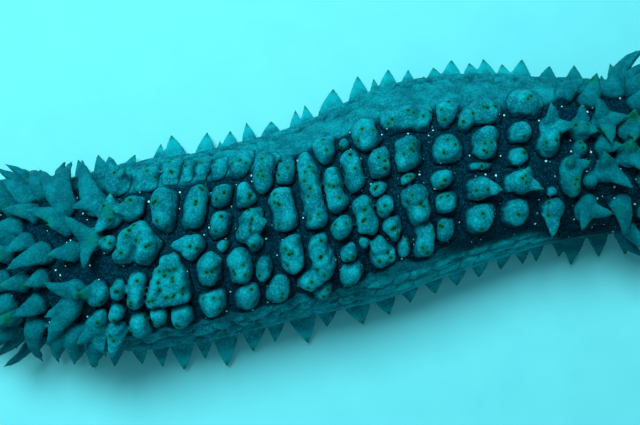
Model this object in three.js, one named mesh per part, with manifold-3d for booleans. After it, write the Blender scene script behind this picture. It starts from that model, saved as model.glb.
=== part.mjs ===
// A prickly sea cucumber lying on its flat sole, life size, as a still museum model.
// Millimetres, +Z up. +X runs along the body to the mouth end, +Y to the animal's left flank.
// The origin is on the flat underside of the sole, at the middle of the body.
import * as THREE from "three";
import { mergeVertices } from "three/addons/utils/BufferGeometryUtils.js";
import Module from "manifold-3d";

const wasm = await Module();
wasm.setup();

// Driving sizes of the body.
const rearEnd = { tip: -210, length: 120, roundness: 1.8, lift: 30 };
const frontEnd = { tip: 225, length: 80, roundness: 2.2, lift: 34 };
const halfWidth = 57;
const swell = { amount: 6.5, at: 38, reach: 42 };
const frontNarrowing = { amount: 9, from: 75, to: 160 };
const backHeight = 72;
const edgeHeight = 12;
const sectionFullness = 0.85;
const soleCorner = { share: 0.12, end: 0.4 };
const bend = { rise: 32, middle: 9, reach: 93 };

// Where the body is parted. A cut leans with the rows of pads, by slope millimetres for each one across.
const gap = 0.3;
const soleThickness = 8;
const bodyCuts = [
  { at: -112, slope: -0.09 },
  { at: -47.5, slope: 0.1 },
  { at: 38.7, slope: -0.1 },
  { at: 113, slope: 0.12 },
];
const longestPiece = 20;
const soleCuts = [-72, 72];

// The pads of the back, as the photograph shows them, from the rear to the mouth end. Each one's middle line
// runs from rim to rim. A place is a station, and a distance to the left of the pattern's own middle line,
// which lies a few millimetres off the ridge. Low pads have a share of the full height.
const patternLine = { rise: 30.5, middle: 6, reach: 91.5 };
const padLines = [
  { width: 10.5, line: [[-113, -16.5], [-114.5, -27]] },
  { width: 7.5, line: [[-113.5, -29.5], [-113, -35.5]] },
  { width: 11, line: [[-108, 40], [-106, 31]], tall: 0.6 },
  { width: 9, line: [[-107.5, 7.5], [-108, -0.5]], tall: 0.7 },
  { width: 9.5, line: [[-105.5, 24], [-109.5, 11.5]] },
  { width: 9, line: [[-105, -27.5], [-105, -35.5]] },
  { width: 9, line: [[-108, -37.5], [-102, -38.5]] },
  { width: 8.5, line: [[-102, -16], [-103, -24.5]] },
  { width: 9.5, line: [[-99, 5.5], [-101, -6.5]] },
  { width: 11, line: [[-95.5, 26], [-97, 13]] },
  { width: 11.5, line: [[-96, 11.5], [-89, 4], [-87, -9.5]] },
  { width: 9.5, line: [[-93.5, -13], [-94.5, -30]] },
  { width: 10.5, line: [[-93.5, -32], [-94, -44]] },
  { width: 11.5, line: [[-92, 37], [-90.5, 27.5]], tall: 0.5 },
  { width: 9.5, line: [[-84, -31.5], [-83.5, -39]] },
  { width: 12, line: [[-82.5, 27.5], [-79.5, 6.5]] },
  { width: 9.5, line: [[-79, 39.5], [-79, 29]], tall: 0.45 },
  { width: 9.5, line: [[-75, -5], [-84.5, -28]] },
  { width: 10, line: [[-75.5, -5], [-71.5, -28]] },
  { width: 8, line: [[-85, -26.5], [-70.5, -26.5]] },
  { width: 11.5, line: [[-72, -31], [-72, -42]] },
  { width: 12, line: [[-66, 1.5], [-64.5, -10]] },
  { width: 12, line: [[-62, 26], [-65.5, 5]] },
  { width: 9, line: [[-61.5, 36], [-61.5, 28]], tall: 0.4 },
  { width: 11.5, line: [[-57, -8], [-56.5, -25]] },
  { width: 12.5, line: [[-56, -27], [-57, -40]] },
  { width: 9, line: [[-53, 35], [-53.5, 26]], tall: 0.35 },
  { width: 10.5, line: [[-52.5, 11.5], [-51.5, -2.5]] },
  { width: 11.5, line: [[-50.5, 24], [-50, 12]] },
  { width: 11.5, line: [[-46, -12.5], [-41, -15], [-38.5, -27.5]] },
  { width: 9, line: [[-42.5, 35], [-42, 25]], tall: 0.4 },
  { width: 10.5, line: [[-39.5, 22], [-36, 9]] },
  { width: 11, line: [[-37, 8.5], [-34, -1]] },
  { width: 10.5, line: [[-42.5, -4.5], [-33, -3]] },
  { width: 8.5, line: [[-34, -6], [-33, -14]] },
  { width: 12, line: [[-37, -28.5], [-37.5, -39.5]] },
  { width: 7.5, line: [[-30, -17.5], [-29, -29.5]] },
  { width: 12, line: [[-28.5, 30.5], [-30.5, 14]] },
  { width: 12, line: [[-22.5, -29.5], [-22, -39.5]] },
  { width: 11, line: [[-21, 15.5], [-16, -9]] },
  { width: 11, line: [[-17, -10.5], [-11.5, -30]] },
  { width: 10, line: [[-17, 28], [-17, 14]] },
  { width: 8, line: [[-11, -34.5], [3, -37.5]] },
  { width: 10.5, line: [[-7, 27.5], [-4.5, 10], [0, -12.5]] },
  { width: 11, line: [[-2.5, -14], [3.5, -38]] },
  { width: 9, line: [[-2, -43], [6, -43]] },
  { width: 12.5, line: [[2.5, 32], [2.5, 19.5]] },
  { width: 10.5, line: [[6, 15.5], [10, -8]] },
  { width: 12, line: [[10, -10], [13, -21.5]] },
  { width: 10.5, line: [[15, 21.5], [18.5, -0.5]] },
  { width: 9, line: [[15.5, -25], [15.5, -33]] },
  { width: 11.5, line: [[16, -33.5], [16, -44]] },
  { width: 10.5, line: [[19, -3.5], [22, -10], [26.5, -24]] },
  { width: 12, line: [[21, 34.5], [27, 18.5]] },
  { width: 6.5, line: [[22, -22.5], [22, -29.5]] },
  { width: 11, line: [[28.5, 18], [33, 2]] },
  { width: 9, line: [[30, 1.5], [29.5, -6]], tall: 0.6 },
  { width: 10.5, line: [[30.5, -25], [31.5, -40.5]] },
  { width: 7.5, line: [[32, -34.5], [39, -36.5]] },
  { width: 9.5, line: [[31.5, -6.5], [34, -17.5]] },
  { width: 9, line: [[34.5, -18], [38.5, -30.5]] },
  { width: 8.5, line: [[37.5, 34], [37.5, 26]], tall: 0.4 },
  { width: 8.5, line: [[41, -31], [43.5, -38]] },
  { width: 8.5, line: [[44.5, 1], [44.5, -5]], tall: 0.6 },
  { width: 11.5, line: [[43.5, 19.5], [45, 1.5]] },
  { width: 10, line: [[45.5, 31], [46.5, 21]], tall: 0.7 },
  { width: 10.5, line: [[42, -6], [48.5, -11], [52.5, -25]] },
  { width: 10.5, line: [[55.5, -26.5], [52, -41]] },
  { width: 9, line: [[54, 28.5], [54, 20]], tall: 0.6 },
  { width: 9.5, line: [[63, -2], [62.5, -11]] },
  { width: 10.5, line: [[64, -12], [65, -24]] },
  { width: 10.5, line: [[63.5, -25.5], [64.5, -37]] },
  { width: 11.5, line: [[64.5, 16], [67, 2]] },
  { width: 13.5, line: [[66.5, 30], [67, 17.5]] },
  { width: 11, line: [[75.5, 27.5], [76.5, 18]], tall: 0.7 },
  { width: 12, line: [[80, -8], [83, -20.5]] },
  { width: 12.5, line: [[81, -22.5], [83.5, -34.5]] },
  { width: 12, line: [[84.5, 17], [86.5, -1]] },
  { width: 14, line: [[85.5, 30], [86.5, 18]] },
  { width: 10, line: [[103, 2.5], [102, -5.5]], tall: 0.5 },
  { width: 10.5, line: [[102.5, 15.5], [106, 6.5]] },
  { width: 12, line: [[105, -7.5], [102.5, -20]] },
  { width: 12, line: [[103.5, -22.5], [101.5, -34]] },
  { width: 13, line: [[107, 29], [110.5, 18.5]] },
  { width: 10.5, line: [[121, 13], [117.5, -1]] },
  { width: 11, line: [[124, -24.5], [121, -32]] },
  { width: 9, line: [[131.5, -9], [131, -23]] },
  { width: 9, line: [[135, 12], [136, 6]] },
  { width: 8, line: [[134.5, 5], [136.5, -4]], tall: 0.6 },
  { width: 8, line: [[141.5, -11.5], [140.5, -20]] },
];
const pad = { height: 11, flankShare: 0.4, flankFrom: 36, flankTo: 50, root: 4, wobble: 0.14 };
const padSides = { low: 5, usual: 6, long: 7, longFrom: 20, taper: 1.7 };
const padProfile = [
  { lift: -pad.root, share: 0.92 },
  { lift: pad.height * 0.5, share: 1 },
  { lift: pad.height * 0.93, share: 0.76 },
];

// The pointed papillae in the photograph's view. Each star stands at a place of the pattern, and each of its
// points has a heading in degrees from +X and a reach, as seen from above.
const stars = [
  { at: [-154, -13], points: [[180, 10]] },
  { at: [-152, 8], points: [[216, 14]] },
  { at: [-150, -33], points: [[262, 17]] },
  { at: [-146, -24], points: [[192, 15]] },
  { at: [-143, -11], points: [[200, 9]] },
  { at: [-142, 2], points: [[209, 21]] },
  { at: [-137, -36], points: [[250, 14]] },
  { at: [-134, 25], points: [[141, 25], [111, 27], [93, 22]] },
  { at: [-134, 18], points: [[176, 19]] },
  { at: [-131, 14], points: [[183, 9]] },
  { at: [-129, -26], points: [[225, 22], [188, 13]] },
  { at: [-128, -37], points: [[250, 15]] },
  { at: [-126, 1], points: [[189, 13]] },
  { at: [-126, -19.5], points: [[152, 17], [2, 7]] },
  { at: [-119, -42], points: [[255, 11]] },
  { at: [-117.5, 6], points: [[136, 18], [270, 17]] },
  { at: [-117, 24], points: [[119, 25], [212, 11]] },
  { at: [-117, -38], points: [[190, 9.5], [297, 12]] },
  { at: [-114, -20], points: [[168, 8]] },
  { at: [-108, 36], points: [[0, 9], [115, 9]] },
  { at: [-108, 17], points: [[243, 13], [76, 11]] },
  { at: [-105.5, -38.5], points: [[249, 10]] },
  { at: [-98, 19], points: [[197, 8]] },
  { at: [-66, -3], points: [[176, 12]] },
  { at: [-33, -0.5], points: [[350, 9]] },
  { at: [83, -14], points: [[346, 10.5]] },
  { at: [104, -14], points: [[339, 11], [80, 9]] },
  { at: [121, 12], points: [[111, 11.5], [346, 11]] },
  { at: [122, -30], points: [[257, 9]] },
  { at: [131, -9.5], points: [[140, 8.5], [23, 9]] },
  { at: [131, 31], points: [[5, 12]] },
  { at: [136.5, 10.5], points: [[105, 11], [331, 8.5]] },
  { at: [141, -29], points: [[2, 14.5], [216, 9]] },
  { at: [149.5, 14], points: [[358, 12], [267, 16.5], [131, 14]] },
  { at: [150, -11], points: [[122, 13], [325, 14.5]] },
  { at: [158, 30], points: [[60, 13], [200, 9]] },
  { at: [159, -26], points: [[295, 16], [170, 8]] },
  { at: [162, -4], points: [[304, 12], [110, 9]] },
  { at: [163, 9], points: [[265, 8], [95, 9], [30, 12]] },
];
const point = { sides: 5, radius: 5.6, lift: 12, liftSpread: 4, knee: 0.42, flatness: 0.85 };
const pointWidths = [1, 0.66, 0];

// Rings of papillae on the two ends, which the photograph cuts off. Each ring is at its own station.
const rings = [-163, -174, -185, -194, -202, 173, 184, 194, 204, 213];
const ring = { sides: 4, spacing: 24, reach: 84, length: 22, pairAngle: 14, shift: 5 };
const ringLean = { along: 1.1, spread: 0.5, side: 90, up: 0.25, alongNormal: 0.45, outwards: 0.7 };

// The fringe of flat, triangular papillae along the edge of the sole, as the photograph shows it on the far
// side and the near side: station, width and length of each, and how far its tip lies ahead of its root.
const farFringe = [
  [-114.5, 9, 8, 1.5], [-96, 8, 11, -1.5], [-85.5, 13.5, 15, -4], [-68.5, 11.5, 14, -0.5], [-60, 5, 7, -1],
  [-53.5, 11, 11.5, -1], [-41, 9.5, 13.5, -3.5], [-28.5, 13.5, 10.5, -2], [-14, 8, 12, -1],
  [-6.5, 8.5, 12, -2],
  [7.5, 15, 15.5, 0.5], [24, 12, 16, 0], [34, 7, 10.5, -1.5], [41, 12, 14, 1.5], [52.5, 9, 11, 2.5],
  [62, 9, 5.5, 1], [70.5, 9, 10.5, 0.5], [79.5, 9.5, 13, 2.5], [92.5, 9, 10.5, -1.5], [101, 11, 13, -0.5],
  [111.5, 8, 11.5, -1.5], [120.5, 10, 15, 3], [136, 13, 12.5, 4.5], [152.5, 12.5, 13, 5], [169.5, 6, 8, 2],
  [179, 12, 16, -2], [191, 12, 14, 4],
];
const nearFringe = [
  [-119, 9, 10, -2], [-106, 9, 8, 0], [-94, 9, 10, 1.5], [-81, 12, 13.5, 1.5], [-68, 9, 9, 1],
  [-55.5, 12.5, 16, 0], [-39, 12, 11, -1], [-26, 9, 9, 0], [-11, 14, 13, 4], [4, 10, 7, 1],
  [21, 14, 9, 5], [37, 12, 8, 4], [52, 10, 6, 2], [66, 11, 6, 2], [80, 11, 6, 2],
  [94, 10, 6, 1], [108, 9, 6, 1], [119, 9, 6, 2], [128, 8, 7, 1], [142, 9, 7, 2],
  [150, 12, 13, 0], [164, 11, 10, 3], [179, 12, 12, 4], [192, 11, 12, 5],
];
const rearFringe = { from: -128, to: -192, spacing: 13, width: 10, length: 11, lean: -7 };
const fringe = { root: 6, fullness: 0.5, widths: [1, 0.66, 0] };
const fringeDepth = { half: 2.6, height: 13.5, tipHeight: 4.5 };
const fringeDroop = 1.5;

// The mouth, under the front end, and its ring of stalked feeding tentacles.
const mouth = { x: 203, z: 19.5, tilt: 35, radius: 20, thickness: 5, brow: 9, lip: 5.5, pit: 2.6, sides: 18 };
const mouthClearance = { flare: 14, depth: 30 };
const tentacle = { count: 20, ring: 13.5, ringStep: 2.2, length: 13, stalk: 2.1, shield: 5.2, lobe: 0.14 };

// The pit of the vent, in the rear end.
const vent = { radius: 6.5, depth: 14 };

// Colours as the photograph shows them, through blue-green water.
const backColour = 0x1c7f88;
const soleColour = 0x3f9aa0;
const mouthColour = 0x1d4a45;

const smoothstep = THREE.MathUtils.smoothstep;
const toRadians = THREE.MathUtils.degToRad;

// The same value between 0 and 1 for the same index, so that like pieces vary and every build is alike.
function vary(index) {
  const value = Math.sin(index * 12.9898 + 4.1) * 43758.5453;
  return value - Math.floor(value);
}

// How far the middle of the body lies to the side at a station.
function centreLine(x) {
  return bend.rise * Math.tanh((x - bend.middle) / bend.reach);
}

// The section's sizes at a station along the body.
function section(x) {
  const end = x < 0 ? rearEnd : frontEnd;
  const into = 1 - Math.abs(end.tip - x) / end.length;
  const share = Math.min(1, Math.max(0, into));
  const round = Math.pow(1 - Math.pow(share, end.roundness), 1 / end.roundness);
  const plain =
    halfWidth +
    swell.amount * Math.exp(-(((x - swell.at) / swell.reach) ** 2)) -
    frontNarrowing.amount * smoothstep(x, frontNarrowing.from, frontNarrowing.to);
  const bottom = end.lift * share ** 3;
  return {
    half: plain * round,
    bottom,
    edge: bottom + edgeHeight * round,
    top: bottom + backHeight * Math.sqrt(plain / halfWidth) * round,
  };
}

// A point on the plain body, at a station and an angle round it: 0 at the ridge, 90 at the edge, 180 below.
function bodyPoint(x, angle) {
  const { half, bottom, edge, top } = section(x);
  const turned = Math.abs(angle);
  let across, z;
  if (turned <= 90) {
    across = half * Math.sin(toRadians(turned)) ** sectionFullness;
    z = edge + (top - edge) * Math.max(0, Math.cos(toRadians(turned))) ** sectionFullness;
  } else {
    const below = (turned - 90) / 90;
    const corner = toRadians(90 * Math.min(1, below / soleCorner.end));
    const flat = Math.max(0, (below - soleCorner.end) / (1 - soleCorner.end));
    across = half * (1 - soleCorner.share * (1 - Math.cos(corner))) * (1 - flat);
    z = bottom + (edge - bottom) * (1 - Math.sin(corner));
  }
  return new THREE.Vector3(x, centreLine(x) + Math.sign(angle) * across, z);
}

// The angle round the body of a place this far across the ridge, seen from above.
function angleAcross(x, across) {
  const share = Math.min(0.995, Math.abs(across) / section(x).half);
  const turned = THREE.MathUtils.radToDeg(Math.asin(share ** (1 / sectionFullness)));
  return across < 0 ? -turned : turned;
}

function bodyNormal(x, angle) {
  const step = 1.5;
  const inside = Math.min(frontEnd.tip - 2 * step, Math.max(rearEnd.tip + 2 * step, x));
  const along = bodyPoint(inside + step, angle).sub(bodyPoint(inside - step, angle));
  const round = bodyPoint(inside, angle + step).sub(bodyPoint(inside, angle - step));
  return round.cross(along).normalize().negate();
}

// A closed three.js geometry as a solid that manifold-3d can join and cut.
function solidOf(geometry) {
  geometry.deleteAttribute("normal");
  geometry.deleteAttribute("uv");
  const merged = mergeVertices(geometry, 1e-4);
  return new wasm.Manifold(
    new wasm.Mesh({
      numProp: 3,
      vertProperties: new Float32Array(merged.attributes.position.array),
      triVerts: new Uint32Array(merged.index.array),
    }),
  );
}

// Moves every vertex of a geometry by a function of where it stands.
function reshape(geometry, place) {
  const position = geometry.attributes.position;
  const vertex = new THREE.Vector3();
  for (let i = 0; i < position.count; i++) {
    vertex.fromBufferAttribute(position, i);
    const moved = place(vertex);
    position.setXYZ(i, moved.x, moved.y, moved.z);
  }
  return geometry;
}

// The body before it is parted: a sphere drawn out along X and given its section at each station. Most of
// its meridians are on the back. It can be grown outwards from a core line, to cut room for itself.
function wholeBody(grow) {
  const meridians = 24;
  const rows = 26;
  const upperShare = 18 / meridians;
  const coreInset = 60;
  return solidOf(
    reshape(new THREE.SphereGeometry(1, meridians, rows), (v) => {
      const along = (1 + THREE.MathUtils.clamp(v.y, -1, 1)) / 2;
      const x = THREE.MathUtils.lerp(rearEnd.tip, frontEnd.tip, along);
      const turn = Math.atan2(-v.x, v.z) / Math.PI;
      const share = Math.abs(turn);
      const below = Math.max(0, (share - upperShare) / (1 - upperShare));
      const angle = below > 0 ? Math.min(180, 90 + 90 * below) : (90 * share) / upperShare;
      const surface = bodyPoint(x, Math.sign(turn) * angle);
      const coreX = THREE.MathUtils.clamp(x, rearEnd.tip + coreInset, frontEnd.tip - coreInset);
      const core = new THREE.Vector3(coreX, centreLine(x), backHeight / 2);
      return surface.clone().add(surface.clone().sub(core).setLength(grow));
    }),
  );
}

// The distance off the ridge of a place of the pattern.
function offRidge(x, across) {
  return across + patternLine.rise * Math.tanh((x - patternLine.middle) / patternLine.reach) - centreLine(x);
}

// A place of the pattern on the back, raised or sunk along the normal.
function onBack(x, across, lift) {
  const angle = angleAcross(x, offRidge(x, across));
  return bodyPoint(x, angle).addScaledVector(bodyNormal(x, angle), lift);
}

// One cushion, between the rims at its two ends. Its outline is a capsule and it follows the back under it.
function padSolid([fromX, fromAcross], [toX, toAcross], width, tall, seed) {
  const middle = { x: (fromX + toX) / 2, across: (fromAcross + toAcross) / 2 };
  const length = Math.hypot(toX - fromX, toAcross - fromAcross);
  const along = { x: (toX - fromX) / length, across: (toAcross - fromAcross) / length };
  const radius = width / 2;
  const straight = Math.max(0, length / 2 - radius);
  const flank = smoothstep(Math.abs(middle.across), pad.flankFrom, pad.flankTo);
  const low = tall * THREE.MathUtils.lerp(1, pad.flankShare, flank) * (0.9 + 0.2 * vary(seed + 50));
  const usual = tall < 1 ? padSides.low : padSides.usual;
  const sides = length > padSides.longFrom ? padSides.long : usual;
  return solidOf(
    reshape(new THREE.CylinderGeometry(1, 1, 2, sides, 2), (v) => {
      const level = padProfile[Math.round(v.y) + 1];
      const reach = Math.hypot(v.x, v.z);
      const cos = reach > 0 ? v.x / reach : 0;
      const sin = reach > 0 ? v.z / reach : 0;
      const wobble = 1 + pad.wobble * (vary(seed + Math.round(3 * Math.atan2(v.z, v.x))) - 0.5);
      const size = radius * level.share * wobble;
      const run = reach * (straight * THREE.MathUtils.clamp(cos * padSides.taper, -1, 1) + size * cos);
      const wide = -reach * size * sin;
      const crown = reach > 0 || v.y < 0 ? level.lift : pad.height;
      return onBack(
        middle.x + along.x * run - along.across * wide,
        middle.across + along.across * run + along.x * wide,
        crown > 0 ? crown * low : crown,
      );
    }),
  );
}

// One tapered papilla. It leaves its root along the normal and bends over to its tip.
function pointSolid(root, normal, tip, radius, sides) {
  const start = root.clone().addScaledVector(normal, -pad.root);
  const knee = root.clone().addScaledVector(normal, point.knee * root.distanceTo(tip));
  const curve = new THREE.QuadraticBezierCurve3(start, knee, tip);
  const sideways = new THREE.Vector3().crossVectors(normal, tip.clone().sub(root)).normalize();
  return solidOf(
    reshape(new THREE.ConeGeometry(1, 1, sides, 2), (v) => {
      const level = Math.round(2 * (v.y + 0.5));
      const reach = Math.hypot(v.x, v.z) || 1;
      const width = radius * pointWidths[level];
      const forward = new THREE.Vector3().crossVectors(sideways, curve.getTangent(level / 2)).normalize();
      return curve
        .getPoint(level / 2)
        .addScaledVector(sideways, (v.x / reach) * width)
        .addScaledVector(forward, (v.z / reach) * width * point.flatness);
    }),
  );
}

// The points of one star. Each tip stands over the place on the back that its heading and reach lead to.
function starSolids(star, seed) {
  const [x, across] = star.at;
  const angle = angleAcross(x, offRidge(x, across));
  return star.points.map(([heading, reach], i) => {
    const tipX = x + reach * Math.cos(toRadians(heading));
    const tipAcross = across + reach * Math.sin(toRadians(heading));
    const tip = onBack(tipX, tipAcross, point.lift + point.liftSpread * vary(seed + i));
    const radius = point.radius * (reach > 20 ? 1.1 : 1);
    return pointSolid(bodyPoint(x, angle), bodyNormal(x, angle), tip, radius, point.sides);
  });
}

// A group on a ring near an end: one or two long papillae that lean out towards the end. None grows where
// the mouth is.
function ringSolids(x, angle, seed) {
  const pieces = [];
  const points = vary(seed + 1) > 0.5 ? 2 : 1;
  const { centre, facing } = mouthFrame();
  for (let i = 0; i < points; i++) {
    const turn = angle + (points > 1 ? (i - 0.5) * ring.pairAngle : 0);
    const root = bodyPoint(x, turn);
    if (root.clone().sub(centre).dot(facing) > -mouth.brow) continue;
    const normal = bodyNormal(x, turn);
    const along = Math.sign(x) * ringLean.along + ringLean.spread * (vary(seed + 4 + i) - 0.5);
    const sideways = (root.y - centreLine(x)) / ringLean.side;
    const out = new THREE.Vector3(along, sideways, ringLean.up).normalize();
    const length = ring.length * (0.8 + 0.4 * vary(seed + 2 + i));
    const tip = root
      .clone()
      .addScaledVector(normal, length * ringLean.alongNormal)
      .addScaledVector(out, length * ringLean.outwards);
    pieces.push(pointSolid(root, normal, tip, point.radius, ring.sides));
  }
  return pieces;
}

// Every pad and pointed papilla, with the place that says which length of the body it belongs to.
function allPapillae() {
  const placed = [];
  padLines.forEach(({ width, line, tall = 1 }, i) => {
    const pieces = line.slice(1).map((to, j) => padSolid(line[j], to, width, tall, 31 * i + 7 * j));
    placed.push({ x: line[0][0], across: line[0][1], pieces });
  });
  stars.forEach((star, i) => {
    placed.push({ x: star.at[0], across: star.at[1], pieces: starSolids(star, 500 + 9 * i) });
  });
  for (const x of rings) {
    const { half, edge, top } = section(x);
    const girth = (Math.PI / 2) * (half + top - edge) * (ring.reach / 90);
    const count = Math.max(4, Math.round(girth / ring.spacing));
    for (let i = 0; i < count; i++) {
      const seed = 900 + Math.abs(x) + 5 * i;
      const angle = ring.reach * (-1 + (2 * i) / (count - 1)) * (0.97 + 0.03 * vary(seed));
      const station = x + ring.shift * (vary(seed) - 0.5);
      placed.push({ x, across: 0, pieces: ringSolids(station, angle, seed) });
    }
  }
  return placed;
}

// One flat, triangular papilla of the fringe, its root in the body and its tip low over the floor.
function fringeSolid([x, width, length, lean], side) {
  const { half, bottom } = section(x);
  const root = new THREE.Vector3(x, centreLine(x) + side * (half - fringe.root), bottom + fringeDepth.height);
  const out = new THREE.Vector3(lean, side * (fringe.root + length), 0);
  const along = new THREE.Vector3(out.y, -out.x, 0).normalize();
  const drop = fringeDepth.height - fringeDepth.tipHeight;
  return solidOf(
    reshape(new THREE.ConeGeometry(1, 1, 4, 2), (v) => {
      const share = v.y + 0.5;
      const size = Math.hypot(v.x, v.z) || 1;
      const taper = fringe.widths[Math.round(2 * share)];
      const lift = (v.z / size) * fringeDepth.half * taper - drop * share ** fringeDroop;
      return root
        .clone()
        .addScaledVector(out, share)
        .addScaledVector(along, (v.x / size) * width * fringe.fullness * taper)
        .add(new THREE.Vector3(0, 0, lift));
    }),
  );
}

// The flaps that the photograph cuts off, evenly spaced out to the rear end.
function rearFlaps() {
  const { from, to, spacing, width, length, lean } = rearFringe;
  const steps = Math.round(Math.abs(to - from) / spacing);
  return Array.from({ length: steps + 1 }, (_, i) => [from + ((to - from) * i) / steps, width, length, lean]);
}

function allFringe() {
  const placed = [];
  for (const [side, flaps] of [[1, farFringe], [-1, nearFringe]]) {
    for (const flap of [...flaps, ...rearFlaps()]) {
      placed.push({ x: flap[0], across: side * section(flap[0]).half, pieces: [fringeSolid(flap, side)] });
    }
  }
  return placed;
}

// The part of a solid on one side of a leaning upright cut, cut clear by half the gap.
function trimAtCut(solid, cut, keepFront) {
  const sign = keepFront ? 1 : -1;
  const normal = new THREE.Vector3(sign, -sign * cut.slope, 0).normalize();
  const through = new THREE.Vector3(cut.at, centreLine(cut.at), 0);
  return solid.trimByPlane(normal.toArray(), through.dot(normal) + gap / 2);
}

// Which length of the body a place belongs to.
function lengthOf(x, across) {
  return bodyCuts.filter((cut) => x > cut.at + cut.slope * across).length;
}

// A piece belongs to every length that it may reach into. The cuts part it with the body.
function reaches({ x, across }, index) {
  return lengthOf(x - longestPiece, across) <= index && lengthOf(x + longestPiece, across) >= index;
}

// Keeps only the largest closed surface, so that no loose scrap is left.
function largest(solid) {
  return solid.decompose().reduce((a, b) => (b.volume() > a.volume() ? b : a));
}

// The tilted frame of the mouth: where it is, and which way it faces.
function mouthFrame() {
  const tilt = toRadians(mouth.tilt);
  const facing = new THREE.Vector3(Math.sin(tilt), 0, -Math.cos(tilt));
  const up = new THREE.Vector3(Math.cos(tilt), 0, Math.sin(tilt));
  const side = new THREE.Vector3().crossVectors(facing, up);
  const centre = new THREE.Vector3(mouth.x, centreLine(mouth.x), mouth.z);
  return { facing, up, side, centre };
}

// A turned shape from pairs of radius and height, on the Y axis.
function turned(profile, sides) {
  return new THREE.LatheGeometry(
    profile.map(([radius, height]) => new THREE.Vector2(radius, height)),
    sides,
  );
}

// Sets a turned shape on the mouth, its axis along the way the mouth faces.
function onMouth(geometry, away) {
  const { facing, up, side, centre } = mouthFrame();
  const matrix = new THREE.Matrix4().makeBasis(up, facing, side.clone().negate());
  return solidOf(geometry.applyMatrix4(matrix.setPosition(centre.clone().addScaledVector(facing, away))));
}

// The room kept clear for the mouth plate and the tentacles.
function mouthRoom() {
  const wide = mouth.radius + mouthClearance.flare;
  const profile = [
    [0, 0],
    [mouth.radius + gap, 0],
    [wide, mouthClearance.flare],
    [wide, mouthClearance.depth],
    [0, mouthClearance.depth],
  ];
  return onMouth(turned(profile, mouth.sides), 0);
}

// The mouth: a round plate with a raised lip and a pit, and the stalked, shield-tipped tentacles round it.
function mouthSolid() {
  const plate = [
    [0, 0],
    [mouth.radius - 2, 0],
    [mouth.radius, mouth.thickness * 0.5],
    [mouth.radius - 3, mouth.thickness],
    [mouth.lip + 3.5, mouth.thickness * 0.9],
    [mouth.lip, mouth.thickness * 1.5],
    [mouth.pit + 0.8, mouth.thickness * 1.3],
    [mouth.pit, mouth.thickness * 0.6],
    [0, mouth.thickness * 0.5],
  ];
  let solid = onMouth(turned(plate, mouth.sides), gap);
  for (let i = 0; i < tentacle.count; i++) solid = solid.add(tentacleSolid(i));
  return solid;
}

// One tentacle, in the inner or the outer of two rings. It stops short of the floor.
function tentacleSolid(index) {
  const { facing, up, side, centre } = mouthFrame();
  const turn = (2 * Math.PI * index) / tentacle.count;
  const outer = index % 2;
  const radial = up.clone().multiplyScalar(Math.cos(turn)).addScaledVector(side, Math.sin(turn));
  const root = centre
    .clone()
    .addScaledVector(facing, mouth.thickness * 0.5)
    .addScaledVector(radial, tentacle.ring + outer * tentacle.ringStep);
  const heading = facing.clone().addScaledVector(radial, outer ? 1.05 : 0.45).normalize();
  const lowest = tentacle.shield + 0.8;
  const room = (root.z - lowest) / Math.max(0.05, -heading.z);
  const wanted = tentacle.length * (outer ? 1.1 : 0.72) * (0.9 + 0.2 * vary(300 + index));
  const reach = Math.min(room, wanted);
  const across = new THREE.Vector3().crossVectors(heading, radial).normalize();
  const ahead = new THREE.Vector3().crossVectors(across, heading);
  const profile = [
    [0, 0],
    [tentacle.stalk * 1.15, 0],
    [tentacle.stalk, 0.78 * reach],
    [tentacle.shield, 0.96 * reach],
    [0, 1.08 * reach],
  ];
  return solidOf(
    reshape(turned(profile, 5), (v) => {
      const lobe = v.y > 0.85 * reach ? 1 + tentacle.lobe * Math.cos(3 * Math.atan2(v.x, v.z)) : 1;
      return root
        .clone()
        .addScaledVector(heading, v.y)
        .addScaledVector(across, v.x * lobe)
        .addScaledVector(ahead, v.z * lobe);
    }),
  );
}

function ventSolid() {
  const middle = bodyPoint(rearEnd.tip, 0);
  return solidOf(
    reshape(new THREE.SphereGeometry(1, 12, 8), (v) =>
      new THREE.Vector3(v.x * vent.depth, v.y * vent.radius, v.z * vent.radius).add(middle),
    ),
  );
}

function material(colour, roughness) {
  return new THREE.MeshStandardMaterial({ color: colour, roughness, metalness: 0 });
}

const skin = {
  back: material(backColour, 0.62),
  sole: material(soleColour, 0.7),
  mouth: material(mouthColour, 0.55),
};

const seaCucumber = new THREE.Group();

function addNode(name, solid, finish) {
  const mesh = largest(solid).getMesh();
  const geometry = new THREE.BufferGeometry();
  geometry.setAttribute("position", new THREE.BufferAttribute(new Float32Array(mesh.vertProperties), 3));
  geometry.setIndex(new THREE.BufferAttribute(new Uint32Array(mesh.triVerts), 1));
  geometry.computeVertexNormals();
  const node = new THREE.Mesh(geometry, finish);
  node.name = name;
  seaCucumber.add(node);
}

// The body is made whole, cut flat for the mouth, parted from its sole and divided into five lengths.
const mouthAt = mouthFrame();
const mouthCut = mouthAt.facing.clone().negate();
const body = wholeBody(0).trimByPlane(mouthCut.toArray(), mouthAt.centre.dot(mouthCut));
const upper = body.trimByPlane([0, 0, 1], soleThickness + gap);
const soleRoom = wholeBody(gap * 1.3).trimByPlane([0, 0, -1], -soleThickness - gap);
const papillae = [...allPapillae(), ...allFringe()];
const lengthNames = ["rear_end", "rear_trunk", "middle_trunk", "front_trunk", "mouth_end"];
const lastLength = lengthNames.length - 1;

lengthNames.forEach((name, index) => {
  let solid = index === 0 ? upper.subtract(ventSolid()) : upper;
  for (const place of papillae.filter((p) => reaches(p, index))) {
    for (const piece of place.pieces) solid = solid.add(piece);
  }
  if (index > 0) solid = trimAtCut(solid, bodyCuts[index - 1], true);
  if (index < lastLength) solid = trimAtCut(solid, bodyCuts[index], false);
  solid = solid.subtract(soleRoom);
  if (index === lastLength) solid = solid.subtract(mouthRoom());
  addNode(name, solid, skin.back);
});

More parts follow.
